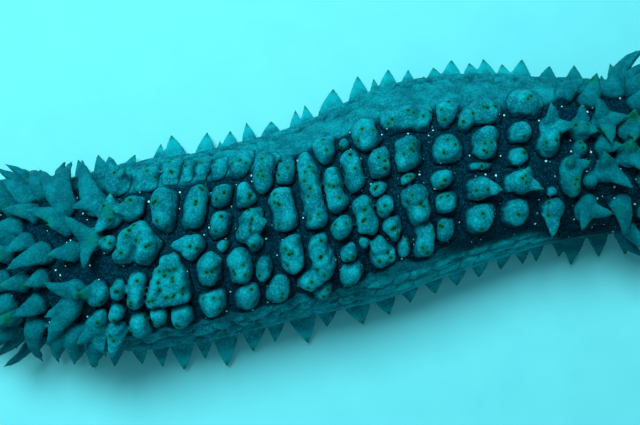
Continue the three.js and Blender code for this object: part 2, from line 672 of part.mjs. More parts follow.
// The flat sole, in three lengths.
const sole = body.trimByPlane([0, 0, -1], -soleThickness);
const soleNames = ["sole_rear", "sole_middle", "sole_front"];
soleNames.forEach((name, index) => {
  let solid = sole;
  if (index > 0) solid = solid.trimByPlane([1, 0, 0], soleCuts[index - 1] + gap / 2);
  if (index < soleCuts.length) solid = solid.trimByPlane([-1, 0, 0], -soleCuts[index] + gap / 2);
  addNode(name, solid, skin.sole);
});

addNode("mouth_tentacles", mouthSolid(), skin.mouth);

export default seaCucumber;
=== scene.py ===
# A prickly sea cucumber lying on its sole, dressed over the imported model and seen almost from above.
import math

import bmesh
import bpy
import numpy as np
from mathutils import Matrix, Vector, noise
from mathutils.bvhtree import BVHTree
from mathutils.kdtree import KDTree


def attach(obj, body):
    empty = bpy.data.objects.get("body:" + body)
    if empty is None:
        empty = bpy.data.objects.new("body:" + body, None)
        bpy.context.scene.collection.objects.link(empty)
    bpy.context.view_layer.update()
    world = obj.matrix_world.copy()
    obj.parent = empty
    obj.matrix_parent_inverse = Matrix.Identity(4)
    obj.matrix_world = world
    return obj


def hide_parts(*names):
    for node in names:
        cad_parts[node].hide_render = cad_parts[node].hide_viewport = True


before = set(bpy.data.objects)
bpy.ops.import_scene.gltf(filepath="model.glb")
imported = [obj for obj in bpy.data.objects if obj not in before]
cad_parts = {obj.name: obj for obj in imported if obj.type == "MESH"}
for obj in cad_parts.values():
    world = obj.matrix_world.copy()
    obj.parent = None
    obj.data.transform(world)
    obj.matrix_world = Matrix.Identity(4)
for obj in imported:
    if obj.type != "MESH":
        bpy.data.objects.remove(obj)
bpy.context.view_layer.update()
bpy.context.scene.view_settings.view_transform = "Standard"

mm = 0.001  # sizes below are in millimetres, meshes in metres

# The body's own shape, as in the solids
body = {
    "rearTip": -210,
    "rearLength": 120,
    "rearRoundness": 1.8,
    "rearLift": 30,
    "frontTip": 225,
    "frontLength": 80,
    "frontRoundness": 2.2,
    "frontLift": 34,
    "halfWidth": 57,
    "swellAmount": 6.5,
    "swellAt": 38,
    "swellReach": 42,
    "narrowing": 9,
    "narrowFrom": 75,
    "narrowTo": 160,
    "backHeight": 72,
    "edgeHeight": 12,
    "fullness": 0.85,
    "cornerShare": 0.12,
    "cornerEnd": 0.4,
    "bendRise": 32,
    "bendMiddle": 9,
    "bendReach": 93,
    "patternRise": 30.5,
    "patternMiddle": 6,
    "patternReach": 91.5,
    "farthestShare": 0.995,
}


def smoothStep(value, low, high):
    share = np.clip((np.asarray(value, float) - low) / (high - low), 0, 1)
    return share * share * (3 - 2 * share)


def vary(index):  # the same value from 0 to 1 for the same index
    value = math.sin(index * 12.9898 + 4.1) * 43758.5453
    return value - math.floor(value)


def centreLine(x):
    return body["bendRise"] * np.tanh((x - body["bendMiddle"]) / body["bendReach"])


def offRidge(x, across):  # the pattern's own middle line lies a few millimetres off the ridge
    line = body["patternRise"] * np.tanh((x - body["patternMiddle"]) / body["patternReach"])
    return across + line - centreLine(x)


def section(x):  # half width, and the heights of the underside, the edge and the ridge
    rear = np.asarray(x) < 0
    reach = np.where(rear, x - body["rearTip"], body["frontTip"] - x)
    share = np.clip(1 - reach / np.where(rear, body["rearLength"], body["frontLength"]), 0, 1)
    roundness = np.where(rear, body["rearRoundness"], body["frontRoundness"])
    rounded = (1 - share**roundness) ** (1 / roundness)
    swell = body["swellAmount"] * np.exp(-(((x - body["swellAt"]) / body["swellReach"]) ** 2))
    narrower = body["narrowing"] * smoothStep(x, body["narrowFrom"], body["narrowTo"])
    plain = body["halfWidth"] + swell - narrower
    bottom = np.where(rear, body["rearLift"], body["frontLift"]) * share**3
    edge = bottom + body["edgeHeight"] * rounded
    top = bottom + body["backHeight"] * np.sqrt(plain / body["halfWidth"]) * rounded
    return plain * rounded, bottom, edge, top


def bodyPoint(x, angle):  # angle in degrees: 0 on the ridge, 90 at the edge, 180 below
    x, angle = np.broadcast_arrays(np.asarray(x, float), np.asarray(angle, float))
    half, bottom, edge, top = section(x)
    turned = np.abs(angle)
    upper = np.radians(np.minimum(turned, 90))
    across = half * np.sin(upper) ** body["fullness"]
    z = edge + (top - edge) * np.maximum(0, np.cos(upper)) ** body["fullness"]
    below = np.clip((turned - 90) / 90, 0, 1)
    corner = np.radians(90 * np.minimum(1, below / body["cornerEnd"]))
    flat = np.maximum(0, (below - body["cornerEnd"]) / (1 - body["cornerEnd"]))
    under = turned > 90
    acrossBelow = half * (1 - body["cornerShare"] * (1 - np.cos(corner))) * (1 - flat)
    across = np.where(under, acrossBelow, across)
    z = np.where(under, bottom + (edge - bottom) * (1 - np.sin(corner)), z)
    return np.stack([x, centreLine(x) + np.sign(angle) * across, z], axis=-1)


def bodyNormal(x, angle):
    step = 1.5
    x, angle = np.broadcast_arrays(np.asarray(x, float), np.asarray(angle, float))
    inside = np.clip(x, body["rearTip"] + 2 * step, body["frontTip"] - 2 * step)
    along = bodyPoint(inside + step, angle) - bodyPoint(inside - step, angle)
    around = bodyPoint(inside, angle + step) - bodyPoint(inside, angle - step)
    normal = np.cross(along, around)
    return normal / np.maximum(1e-9, np.linalg.norm(normal, axis=-1, keepdims=True))


def angleAcross(x, across):  # the angle of a place this far off the ridge, seen from above
    share = np.minimum(body["farthestShare"], np.abs(across) / section(np.asarray(x, float))[0])
    return np.sign(across) * np.degrees(np.arcsin(share ** (1 / body["fullness"])))


def onBack(x, across, lift):  # a place of the pattern, raised or sunk along the normal
    angle = angleAcross(x, offRidge(x, across))
    return bodyPoint(x, angle) + bodyNormal(x, angle) * np.asarray(lift, float)[..., None]


def unit(vector):
    return vector / max(1e-9, float(np.linalg.norm(vector)))


# Small helpers for the meshes
poleReach = 1e-4  # a place of the unit ball nearer to its axis than this is a pole
fusing = {  # size of the steps that melt overlapping shapes into one skin, and how often it is smoothed
    "pads": (0.8, 3),
    "papillae": (0.8, 2),
    "fringe": (0.75, 2),
    "mouth": (0.5, 1),
}
hideLumps = [(6, 0.6), (2.6, 0.25)]  # size and height of each kind of lump on the pads and papillae


def vertsArray(verts):
    return np.array([vert.co for vert in verts], float)


def setVerts(verts, spots):
    for vert, spot in zip(verts, spots * mm):
        vert.co = spot


def addBlob(bm, place, subdivisions=3):
    verts = bmesh.ops.create_icosphere(bm, subdivisions=subdivisions, radius=1)["verts"]
    setVerts(verts, place(vertsArray(verts)))


def addSweep(bm, place, sides, rings):
    verts = bmesh.ops.create_uvsphere(bm, u_segments=sides, v_segments=rings, radius=1)["verts"]
    setVerts(verts, place(vertsArray(verts)))


def axisReach(ball):  # how far each place of the unit ball lies from its axis
    return np.maximum(1e-9, np.hypot(ball[:, 0], ball[:, 1]))


def newPiece(name, bm):
    bmesh.ops.recalc_face_normals(bm, faces=bm.faces)
    for face in bm.faces:
        face.smooth = True
    mesh = bpy.data.meshes.new(name)
    bm.to_mesh(mesh)
    bm.free()
    piece = bpy.data.objects.new(name, mesh)
    bpy.context.scene.collection.objects.link(piece)
    return piece


def fuse(piece, voxel, passes):  # melts the overlapping shapes of a piece into one skin
    remesh = piece.modifiers.new("fuse", "REMESH")
    remesh.mode = "VOXEL"
    remesh.voxel_size = voxel * mm
    remesh.use_smooth_shade = True
    soften = piece.modifiers.new("soften", "SMOOTH")
    soften.factor = 0.5
    soften.iterations = passes
    graph = bpy.context.evaluated_depsgraph_get()
    fused = bpy.data.meshes.new_from_object(piece.evaluated_get(graph))
    piece.modifiers.clear()
    plain = piece.data
    piece.data = fused
    fused.name = piece.name
    bpy.data.meshes.remove(plain)
    return piece


def meshCoords(mesh):
    coords = np.zeros(len(mesh.vertices) * 3)
    mesh.vertices.foreach_get("co", coords)
    return coords.reshape(-1, 3)


def storeShare(piece, name, values):
    attribute = piece.data.attributes.new(name, "FLOAT", "POINT")
    attribute.data.foreach_set("value", np.asarray(values, np.float32))


def roughen(piece, lumps):  # small lumps and dents over a finished piece: size and height of each kind
    mesh = piece.data
    coords = meshCoords(mesh)
    normals = np.zeros(len(coords) * 3)
    mesh.vertex_normals.foreach_get("vector", normals)
    lift = sum(height * softNoise(coords / mm, size, size) for size, height in lumps)
    spots = coords + normals.reshape(-1, 3) * lift[:, None] * mm
    mesh.vertices.foreach_set("co", spots.ravel())
    mesh.update()


def treeOf(pieces):
    joined = bmesh.new()
    for piece in pieces:
        joined.from_mesh(piece.data)
    tree = BVHTree.FromBMesh(joined)
    joined.free()
    return tree


def distances(tree, coords):  # in millimetres
    return np.array([tree.find_nearest(Vector(co))[3] for co in coords]) / mm


def softNoise(coords, size, seed=0):  # about -1 to 1, with lumps of this size in millimetres
    scaled = np.asarray(coords, float) / np.asarray(size, float) + seed * 7.31
    return np.array([noise.noise(Vector(co)) for co in scaled])


# The skin, one closed sheet over the whole body. Angles come in pairs, from where to where something fades in
# or out, and a lump has its size and its height. A small one has its share of the height
skinSizes = {
    "around": 260,
    "along": 380,
    "upperShare": 0.8,
    "depth": 0.7,
    "edgeDepth": 2.2,
    "edgeAngles": (60, 84),
    "soleHeight": 1.7,
    "soleAngles": (92, 104),
    "soleLump": (5, 0.4),
    "flankAngles": (38, 54),
    "flankEndAngles": (96, 108),
    "backEndAngles": (56, 70),
    "lump": (3.1, 0.8),
    "smallLump": (1.7, 0.7),
}
# The folds' and the crease's line and lineShare set painted shade in the fold troughs and in the crease over
# the fringe.
folds = {
    "height": 1.1,
    "size": (34, 3.2, 1),
    "smallSize": (13, 1.9, 1),
    "smallShare": 0.6,
    "angleScale": 0.9,
    "sideShift": 40,
    "line": (0.15, 0.55),
    "lineShare": 0.45,
}
crease = {"angle": 84, "width": 1.5, "depth": 1.8, "sway": 2.5, "swaySize": 22, "lineShare": 0.75}
scales = {
    "spacing": 12,
    "alongReach": 250,
    "aroundCount": 9,
    "alongStray": 0.8,
    "aroundStray": 0.7,
    "angleScale": 1.15,
    "farthest": 9.0,
    "beginAngles": (46, 52),
    "endAngles": (74, 80),
    "margin": 4,
    "height": 1.1,
    "bevel": 2.2,
    "sunk": 0.6,
    "line": (0.1, 1.3),
    "lineShare": 0.5,
}
vent = {
    "radius": 6,
    "depth": 11,
    "folds": 11,
    "foldShare": 0.13,
    "lipAt": 1.7,
    "lipWidth": 3,
    "lipHeight": 1.5,
    "lengthShare": 1 / 3,
}
mouth = {
    "x": 203,
    "z": 19.5,
    "tilt": 35,
    "radius": 20,
    "thickness": 5,
    "gap": 0.3,
    "skinGap": 0.4,
    "brow": 9,
}
mouthTilt = math.radians(mouth["tilt"])
mouthFacing = np.array([math.sin(mouthTilt), 0, -math.cos(mouthTilt)])
mouthUp = np.array([math.cos(mouthTilt), 0, math.sin(mouthTilt)])
mouthSide = np.cross(mouthFacing, mouthUp)
mouthCentre = np.array([mouth["x"], float(centreLine(mouth["x"])), mouth["z"]])


def stationOf(share):  # even steps over the body's curve, so that the ends are as fine as the middle
    rearArc, frontArc = (body[name] * math.pi / 2 for name in ("rearLength", "frontLength"))
    straight = body["frontTip"] - body["rearTip"] - body["rearLength"] - body["frontLength"]
    run = share * (rearArc + straight + frontArc)
    rearTurn = np.clip(1 - run / rearArc, 0, 1) * math.pi / 2
    frontTurn = np.clip((run - rearArc - straight) / frontArc, 0, 1) * math.pi / 2
    rear = body["rearTip"] + body["rearLength"] * (1 - np.sin(rearTurn) ** (2 / body["rearRoundness"]))
    front = body["frontTip"] - body["frontLength"] * (1 - np.sin(frontTurn) ** (2 / body["frontRoundness"]))
    middle = body["rearTip"] + body["rearLength"] + run - rearArc
    return np.where(rearTurn > 0, rear, np.where(frontTurn > 0, front, middle))


def scaleEdges(x, angle):  # millimetres from the nearest seam between the flat scales of the flanks
    spacing = scales["spacing"]
    columns = round(scales["alongReach"] / spacing)
    middles = []
    for i in range(-columns, columns + 1):
        for j in range(-scales["aroundCount"], scales["aroundCount"] + 1):
            seed = 71 * i + 13 * j
            shift = 0.5 * (j % 2)
            column = spacing * (i + shift + scales["alongStray"] * (vary(seed) - 0.5))
            row = spacing * (j + scales["aroundStray"] * (vary(seed + 1) - 0.5))
            middles.append((column, row, 0))
    tree = KDTree(len(middles))
    for i, middle in enumerate(middles):
        tree.insert(Vector(middle), i)
    tree.balance()
    edges = np.full(len(x), scales["farthest"])
    turned = np.abs(angle)
    low, high = scales["beginAngles"][0] - scales["margin"], scales["endAngles"][1] + scales["margin"]
    for i in np.flatnonzero((turned > low) & (turned < high)):
        first, second = tree.find_n(Vector((x[i], angle[i] * scales["angleScale"], 0)), 2)
        edges[i] = (second[2] - first[2]) / 2
    return edges


def skinAngles(ball):  # the angle round the body, with most of the sheet's faces above its edge
    turn = np.arctan2(ball[:, 0], ball[:, 1]) / math.pi
    upperShare = skinSizes["upperShare"]
    size = np.abs(turn)
    lower = 90 + 90 * (size - upperShare) / (1 - upperShare)
    return np.sign(turn) * np.where(size < upperShare, 90 * size / upperShare, lower)


skinMarks = {}  # shares from 0 to 1 at each vertex of the skin, for its colours


def flankLift(x, angle, spots):  # lengthwise folds, flat scales, and a sharp crease over the fringe
    turned = np.abs(angle)
    flank = smoothStep(turned, *skinSizes["flankAngles"])
    flank = flank * (1 - smoothStep(turned, *skinSizes["flankEndAngles"]))
    lengthwise = [x, turned * folds["angleScale"], np.sign(angle) * folds["sideShift"]]
    lengthwise = np.stack(lengthwise, axis=-1)
    small = folds["smallShare"] * softNoise(lengthwise, folds["smallSize"], 3)
    waves = softNoise(lengthwise, folds["size"]) + small
    edgeDepth = skinSizes["edgeDepth"] - skinSizes["depth"]
    lift = -skinSizes["depth"] - edgeDepth * smoothStep(turned, *skinSizes["edgeAngles"])
    lift += folds["height"] * flank * waves
    scaleShare = smoothStep(turned, *scales["beginAngles"])
    scaleShare *= 1 - smoothStep(turned, *scales["endAngles"])
    edges = scaleEdges(x, angle)
    lift += scales["height"] * scaleShare * (smoothStep(edges, 0, scales["bevel"]) - scales["sunk"])
    creaseAt = crease["angle"] + crease["sway"] * softNoise(spots, crease["swaySize"], 5)
    groove = np.exp(-(((turned - creaseAt) / crease["width"]) ** 2))
    lift -= crease["depth"] * groove
    # painted shade in the crease over the fringe and in the fold troughs, with darker seams between the
    # scales, for the skin's line mark
    scaleLines = scales["lineShare"] * scaleShare * (1 - smoothStep(edges, *scales["line"]))
    foldTroughShade = folds["lineShare"] * flank * smoothStep(-waves, *folds["line"])
    lines = np.maximum(crease["lineShare"] * groove, scaleLines)
    skinMarks["line"] = np.maximum(lines, foldTroughShade)
    skinMarks["sole"] = smoothStep(turned, *skinSizes["soleAngles"])
    return lift


def backLift(angle, spots):  # small lumps on the back, in the grooves between the pads
    back = 1 - smoothStep(np.abs(angle), *skinSizes["backEndAngles"])
    size, height = skinSizes["lump"]
    smallSize, smallShare = skinSizes["smallLump"]
    return height * back * (softNoise(spots, size, 1) + smallShare * softNoise(spots, smallSize, 2))


def sinkVent(spots):  # the rear end's vent is a puckered pit
    tip = bodyPoint(body["rearTip"], 0)
    away = np.linalg.norm(spots[:, 1:] - tip[1:], axis=1)
    bearing = np.arctan2(spots[:, 2] - tip[2], spots[:, 1] - tip[1])
    near = spots[:, 0] < body["rearTip"] + body["rearLength"] * vent["lengthShare"]
    pucker = 1 + vent["foldShare"] * np.cos(vent["folds"] * bearing)
    pit = np.exp(-((away / (vent["radius"] * pucker)) ** 4))
    lip = np.exp(-(((away - vent["lipAt"] * vent["radius"]) / vent["lipWidth"]) ** 2))
    spots[:, 0] += near * (vent["depth"] * pit - vent["lipHeight"] * lip * pucker)


def skinPlace(ball):
    share = np.arccos(np.clip(-ball[:, 2], -1, 1)) / math.pi
    x = stationOf(share)
    angle = skinAngles(ball)
    spots = bodyPoint(x, angle)
    lift = flankLift(x, angle, spots)
    lift += backLift(angle, spots)
    spots = spots + bodyNormal(x, angle) * lift[:, None]
    size, height = skinSizes["soleLump"]
    floorLine = skinSizes["soleHeight"] + height * softNoise(spots, size, 6)
    spots[:, 2] = np.maximum(spots[:, 2], floorLine)
    sinkVent(spots)

    # flat under the mouth plate
    proud = (spots - mouthCentre) @ mouthFacing + mouth["skinGap"]
    spots -= np.maximum(0, proud)[:, None] * mouthFacing
    return spots


bm = bmesh.new()
addSweep(bm, skinPlace, skinSizes["around"], skinSizes["along"])
skin = newPiece("skin", bm)
fleshNodes = [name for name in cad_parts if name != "mouth_tentacles"]
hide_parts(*fleshNodes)
print("skin made")

# The pads of the back, from the rear to the mouth end: width, share of the full height, the cluster that it
# fuses with or 0, and its middle line from rim to rim as places of the pattern: station and distance across
padLines = [
    (10.5, 1, 0, [(-113, -16.5), (-114.5, -27)]),
    (7.5, 1, 0, [(-113.5, -29.5), (-113, -35.5)]),
    (11, 0.6, 0, [(-108, 40), (-106, 31)]),
    (9, 0.7, 0, [(-107.5, 7.5), (-108, -0.5)]),
    (9.5, 1, 0, [(-105.5, 24), (-109.5, 11.5)]),
    (9, 1, 0, [(-105, -27.5), (-105, -35.5)]),
    (9, 1, 0, [(-108, -37.5), (-102, -38.5)]),
    (8.5, 1, 0, [(-102, -16), (-103, -24.5)]),
    (9.5, 1, 7, [(-95, 10), (-99, 4), (-101.5, -7)]),
    (11, 1, 0, [(-95.5, 26), (-97, 13)]),
    (11, 1, 7, [(-97, 11.5), (-89, 4), (-87, -9.5)]),
    (9.5, 1, 0, [(-93.5, -13), (-94.5, -30)]),
    (10.5, 1, 0, [(-93.5, -32), (-94, -44)]),
    (13, 0.5, 0, [(-92, 43), (-90.5, 31)]),
    (9.5, 1, 0, [(-84, -31.5), (-83.5, -39)]),
    (12, 1, 0, [(-82.5, 27.5), (-79.5, 6.5)]),
    (12, 0.5, 0, [(-79, 45), (-79, 32)]),
    (7.5, 1, 1, [(-76.5, -6), (-88, -30)]),
    (7.5, 1, 1, [(-76, -6), (-68.5, -30.5)]),
    (7, 1, 1, [(-89, -27), (-67.5, -27.5)]),
    (10, 1, 1, [(-77.5, -13), (-77.5, -29.5)]),
    (11.5, 1, 0, [(-72, -31), (-72, -42)]),
    (8, 0.45, 0, [(-70, 43), (-70, 33)]),
    (12, 1, 0, [(-66, 1.5), (-64.5, -10)]),
    (12, 1, 0, [(-62, 26), (-65.5, 5)]),
    (10, 0.45, 0, [(-61.5, 42), (-61.5, 32)]),
    (11.5, 1, 0, [(-57, -8), (-56.5, -25)]),
    (12.5, 1, 0, [(-56, -27), (-57, -40)]),
    (10, 0.45, 0, [(-53, 41), (-53.5, 30)]),
    (10.5, 1, 0, [(-52.5, 11.5), (-51.5, -2.5)]),
    (11.5, 1, 0, [(-50.5, 24), (-50, 12)]),
    (6.5, 0.5, 0, [(-50, -4.5), (-49, -10.5)]),
    (11.5, 1, 0, [(-46, -12.5), (-41, -15), (-38.5, -27.5)]),
    (11, 0.5, 0, [(-42.5, 41), (-42, 28)]),
    (10.5, 1, 0, [(-39.5, 22), (-36, 9)]),
    (11, 1, 2, [(-37, 8.5), (-34, -1)]),
    (10.5, 1, 2, [(-42.5, -4.5), (-33, -3)]),
    (8.5, 1, 2, [(-34, -6), (-33, -14)]),
    (12, 1, 0, [(-37, -28.5), (-37.5, -39.5)]),
    (7.5, 1, 0, [(-30, -17.5), (-29, -29.5)]),
    (12, 0.9, 0, [(-28, 36), (-30.5, 14)]),
    (12, 1, 0, [(-22.5, -29.5), (-22, -39.5)]),
    (11, 1, 0, [(-21, 15.5), (-16, -9)]),
    (11, 1, 0, [(-17, -10.5), (-11.5, -30)]),
    (10, 1, 0, [(-17, 28), (-17, 14)]),
    (8, 1, 3, [(-11, -34.5), (3, -37.5)]),
    (10.5, 1, 0, [(-7, 27.5), (-4.5, 10), (0, -12.5)]),
    (11, 1, 3, [(-2.5, -14), (3.5, -38)]),
    (9, 1, 0, [(-2, -43), (6, -43)]),
    (12.5, 1, 0, [(2.5, 32), (2.5, 19.5)]),
    (10.5, 1, 0, [(6, 15.5), (10, -8)]),
    (12, 1, 0, [(10, -10), (13, -21.5)]),
    (6.5, 0.5, 0, [(12.5, 30), (13, 23)]),
    (10.5, 1, 0, [(15, 21.5), (18.5, -0.5)]),
    (9, 1, 0, [(15.5, -25), (15.5, -33)]),
    (11.5, 1, 0, [(16, -33.5), (16, -44)]),
    (10.5, 1, 0, [(19, -3.5), (22, -10), (26.5, -24)]),
    (12, 1, 0, [(21, 34.5), (27, 18.5)]),
    (6.5, 1, 0, [(22, -22.5), (22, -29.5)]),
    (11, 1, 0, [(28.5, 18), (33, 2)]),
    (9, 0.6, 0, [(30, 1.5), (29.5, -6)]),
    (10.5, 1, 4, [(30.5, -25), (31.5, -40.5)]),
    (7.5, 1, 4, [(32, -34.5), (39, -36.5)]),
    (9.5, 1, 0, [(31.5, -6.5), (34, -17.5)]),
    (9, 1, 0, [(34.5, -18), (38.5, -30.5)]),
    (11, 0.45, 8, [(38, 37), (38, 27)]),
    (8.5, 1, 0, [(41, -31), (43.5, -38)]),
    (8.5, 0.6, 0, [(44.5, 1), (44.5, -5)]),
    (11.5, 1, 0, [(43.5, 19.5), (45, 1.5)]),
    (12, 0.6, 8, [(46, 36), (46.5, 24)]),
    (10.5, 1, 5, [(42, -6), (48.5, -11), (52.5, -25)]),
    (10.5, 1, 5, [(55.5, -26.5), (52, -41)]),
    (11, 0.5, 8, [(54.5, 34), (54, 23)]),
    (9.5, 1, 0, [(63, -2), (62.5, -11)]),
    (10.5, 1, 0, [(64, -12), (65, -24)]),
    (10.5, 1, 0, [(63.5, -25.5), (64.5, -37)]),
    (11.5, 1, 0, [(64.5, 16), (67, 2)]),
    (13.5, 0.75, 0, [(66.5, 34.5), (67, 21)]),
    (11, 0.7, 6, [(75.5, 27.5), (76.5, 18)]),
    (4.5, 0.35, 0, [(77, -3), (88, -3.5)]),
    (12, 1, 0, [(80, -8), (83, -20.5)]),
    (12.5, 1, 0, [(81, -22.5), (83.5, -34.5)]),
    (12, 1, 0, [(84.5, 17), (86.5, -1)]),
    (14, 0.75, 6, [(85.5, 30), (86.5, 18)]),
    (10, 0.5, 0, [(103, 2.5), (102, -5.5)]),
    (10.5, 1, 0, [(102.5, 15.5), (106, 6.5)]),
    (12, 1, 0, [(105, -7.5), (102.5, -20)]),
    (12, 1, 0, [(103.5, -22.5), (101.5, -34)]),
    (14, 0.6, 0, [(107, 33), (110.5, 21)]),
    (10.5, 1, 0, [(121, 13), (117.5, -1)]),
    (5.5, 0.5, 0, [(120.5, -18.5), (121, -23.5)]),
    (11, 1, 0, [(124, -24.5), (121, -32)]),
    (9, 1, 0, [(131.5, -9), (131, -23)]),
    (9, 1, 0, [(135, 12), (136, 6)]),
    (8, 0.6, 0, [(134.5, 5), (136.5, -4)]),
    (8, 1, 0, [(141.5, -11.5), (140.5, -20)]),
]
pads = {
    "height": 9,
    "flankShare": 0.4,
    "flankFrom": 36,
    "flankTo": 50,
    "root": 4.5,
    "squareness": 2.5,
    "knobSpacing": 0.36,
    "swollen": 1.02,
    "groove": 1.5,
    "skirtReach": 1.5,
    "skirtHeight": 0.55,
    "skirtSquareness": 1.3,
    "widthSpread": 0.16,
    "heightSpread": 0.2,
    "alongStray": 1.2,
    "acrossStray": 0.5,
    "leastRoom": 0.25,
    "roomSteps": 12,
    "dotSpacing": 5.0,
    "dotSpread": 0.7,
    "dotStray": 2.4,
}
dots = []  # where the tips of drawn-in papillae are looked for: x, across


def clusterOf(index):  # pads of one cluster fuse, and every other pad keeps a groove round it
    return padLines[index][2] or 1000 + index


def padAxis(index):  # the middle line drawn in at its two ends by half of the width
    width, _, _, line = padLines[index]
    line = np.array(line, float)
    lengths = np.linalg.norm(np.diff(line, axis=0), axis=1)
    inset = min(width, lengths.sum()) / 2
    first, last = line[1] - line[0], line[-2] - line[-1]
    line[0] = line[0] + first * min(1, inset / lengths[0])
    line[-1] = line[-1] + last * min(1, inset / lengths[-1])
    return line


def padCapsules():  # each stretch of a pad's axis, its radius and its cluster, seen from above
    starts, stops, radii, clusters = [], [], [], []
    for index, (width, _, _, _) in enumerate(padLines):
        axis = padAxis(index)
        for start, stop in zip(axis[:-1], axis[1:]):
            starts.append(start)
            stops.append(stop)
            radii.append(width / 2 * pads["swollen"])
            clusters.append(clusterOf(index))
    return [np.array(values, float) for values in (starts, stops, radii, clusters)]


capsuleStarts, capsuleStops, capsuleRadii, capsuleClusters = padCapsules()


def capsuleReach(spots):  # how far each place lies outside each capsule
    run = capsuleStops - capsuleStarts
    offset = spots[:, None, :] - capsuleStarts[None]
    share = np.clip((offset * run).sum(-1) / np.maximum(1e-9, (run * run).sum(-1)), 0, 1)
    return np.linalg.norm(offset - share[..., None] * run, axis=-1) - capsuleRadii


def roomShare(centre, rim, cluster):  # how much of the way to its rim a knob may swell before its neighbours
    own = capsuleClusters == cluster
    low, high = np.zeros(len(rim)), np.ones(len(rim))
    for _ in range(pads["roomSteps"]):
        share = (low + high) / 2
        reach = capsuleReach(centre + (rim - centre) * share[:, None])
        free = reach[:, own].min(1) + pads["groove"] < reach[:, ~own].min(1)
        low, high = np.where(free, share, low), np.where(free, high, share)
    return np.maximum(pads["leastRoom"], low)


def knobPlace(x, across, radius, height, cluster=None, squareness=pads["squareness"]):
    power = 2 / squareness
    centre = np.array([x, across])

    def place(ball):
        flatReach = np.maximum(1e-6, np.hypot(ball[:, 0], ball[:, 1]))
        heading = ball[:, :2] / flatReach[:, None]
        room = 1 if cluster is None else roomShare(centre, centre + heading * radius, cluster)
        reach = radius * room * flatReach**power
        rise = np.abs(ball[:, 2]) ** power
        lift = np.where(ball[:, 2] > 0, height * rise, -pads["root"] * rise)
        return onBack(x + heading[:, 0] * reach, across + heading[:, 1] * reach, lift)

    return place


def padRuns(axis):  # how far each point of a pad's axis lies from its start
    return np.concatenate([[0], np.cumsum(np.linalg.norm(np.diff(axis, axis=0), axis=1))])


def axisPlace(axis, runs, run):
    return [float(np.interp(run, runs, axis[:, k])) for k in range(2)]


def addPad(bm, index):
    width, tall, _, _ = padLines[index]
    seed = 37 * index
    axis = padAxis(index)
    runs = padRuns(axis)
    radius = width / 2 * pads["swollen"]
    count = max(1, round(runs[-1] / (width * pads["knobSpacing"])) + 1)
    flank = float(smoothStep(np.abs(axis[:, 1]).mean(), pads["flankFrom"], pads["flankTo"]))
    high = pads["height"] * tall * (1 + (pads["flankShare"] - 1) * flank)
    for i in range(count):
        x, across = axisPlace(axis, runs, runs[-1] * (0.5 if count == 1 else i / (count - 1)))
        x += pads["alongStray"] * (vary(seed + 3 * i) - 0.5)
        across += pads["acrossStray"] * (vary(seed + 3 * i + 1) - 0.5)
        wide = radius * (1 + pads["widthSpread"] * (vary(seed + 3 * i + 2) - 0.5))
        lift = high * (1 + pads["heightSpread"] * (vary(seed + 3 * i + 11) - 0.5))
        addBlob(bm, knobPlace(x, across, wide, lift, clusterOf(index)))
        reach, rise = wide * pads["skirtReach"], lift * pads["skirtHeight"]
        addBlob(bm, knobPlace(x, across, reach, rise, clusterOf(index), pads["skirtSquareness"]))


def scatterDots(index):  # strewn over a pad, along its axis and to both sides of it
    width = padLines[index][0]
    seed = 37 * index
    axis = padAxis(index)
    runs = padRuns(axis)
    spread = width / 2 * pads["swollen"] * pads["dotSpread"]
    count = max(1, round((runs[-1] + width) / pads["dotSpacing"]))
    for i in range(count):
        run = runs[-1] * (i + 0.5) / count + pads["dotStray"] * (vary(seed + 5 * i + 40) - 0.5)
        x, across = axisPlace(axis, runs, run)
        x += spread * (2 * vary(seed + 5 * i + 41) - 1)
        dots.append((x, across + spread * (2 * vary(seed + 5 * i + 42) - 1)))


# Pointed papillae on the back: a place, and the heading and reach of each point as seen from above
stars = [
    ((-163, 2), [(188, 14)]), ((-163, -22), [(200, 14)]), ((-160, 16), [(200, 15)]),
    ((-158, 30), [(168, 16)]), ((-154, -13), [(180, 10)]), ((-150, 22), [(188, 17)]),
    ((-148, 33), [(150, 18)]), ((-152, 8), [(216, 14)]), ((-150, -33), [(262, 17)]),
    ((-146, -24), [(192, 15)]), ((-143, -11), [(200, 9)]), ((-142, 2), [(209, 21)]),
    ((-137, -36), [(250, 14)]), ((-134, 25), [(141, 25), (111, 27), (93, 22)]), ((-134, 18), [(176, 19)]),
    ((-131, 14), [(183, 9)]), ((-129, -26), [(225, 22), (188, 13)]), ((-128, -37), [(250, 15)]),
    ((-126, 1), [(189, 13)]), ((-126, -19.5), [(152, 17), (2, 7)]), ((-119, -42), [(255, 11)]),
    ((-117.5, 6), [(136, 18), (270, 17)]), ((-117, 24), [(119, 25), (212, 11)]),
    ((-117, -38), [(190, 9.5), (297, 12)]), ((-114, -20), [(168, 8)]), ((-108, 36), [(0, 9), (115, 9)]),
    ((-108, 17), [(243, 13), (76, 11)]), ((-105.5, -38.5), [(249, 10)]), ((-98, 19), [(197, 8)]),
    ((-66, -3), [(176, 12)]), ((-33, -0.5), [(350, 9)]), ((83, -14), [(346, 10.5)]),
    ((104, -14), [(339, 11), (80, 9)]), ((121, 12), [(111, 11.5), (346, 11)]), ((122, -30), [(257, 9)]),
    ((131, -9.5), [(140, 8.5), (23, 9)]), ((131, 31), [(5, 12)]),
    ((136.5, 10.5), [(105, 11), (331, 8.5)]), ((141, -29), [(2, 14.5), (216, 9)]),
    ((143, 25), [(62, 12)]), ((147, 1), [(352, 10)]), ((149.5, 14), [(358, 12), (267, 16.5), (131, 14)]),
    ((150, -11), [(122, 13), (325, 14.5)]), ((158, 30), [(60, 13)]), ((159, -26), [(295, 16)]),
    ((162, -4), [(304, 12), (110, 9)]), ((163, 9), [(265, 8), (95, 9), (30, 12)]),
    ((168, 22), [(35, 14)]), ((171, -14), [(325, 13)]), ((173, 2), [(355, 14)]),
]
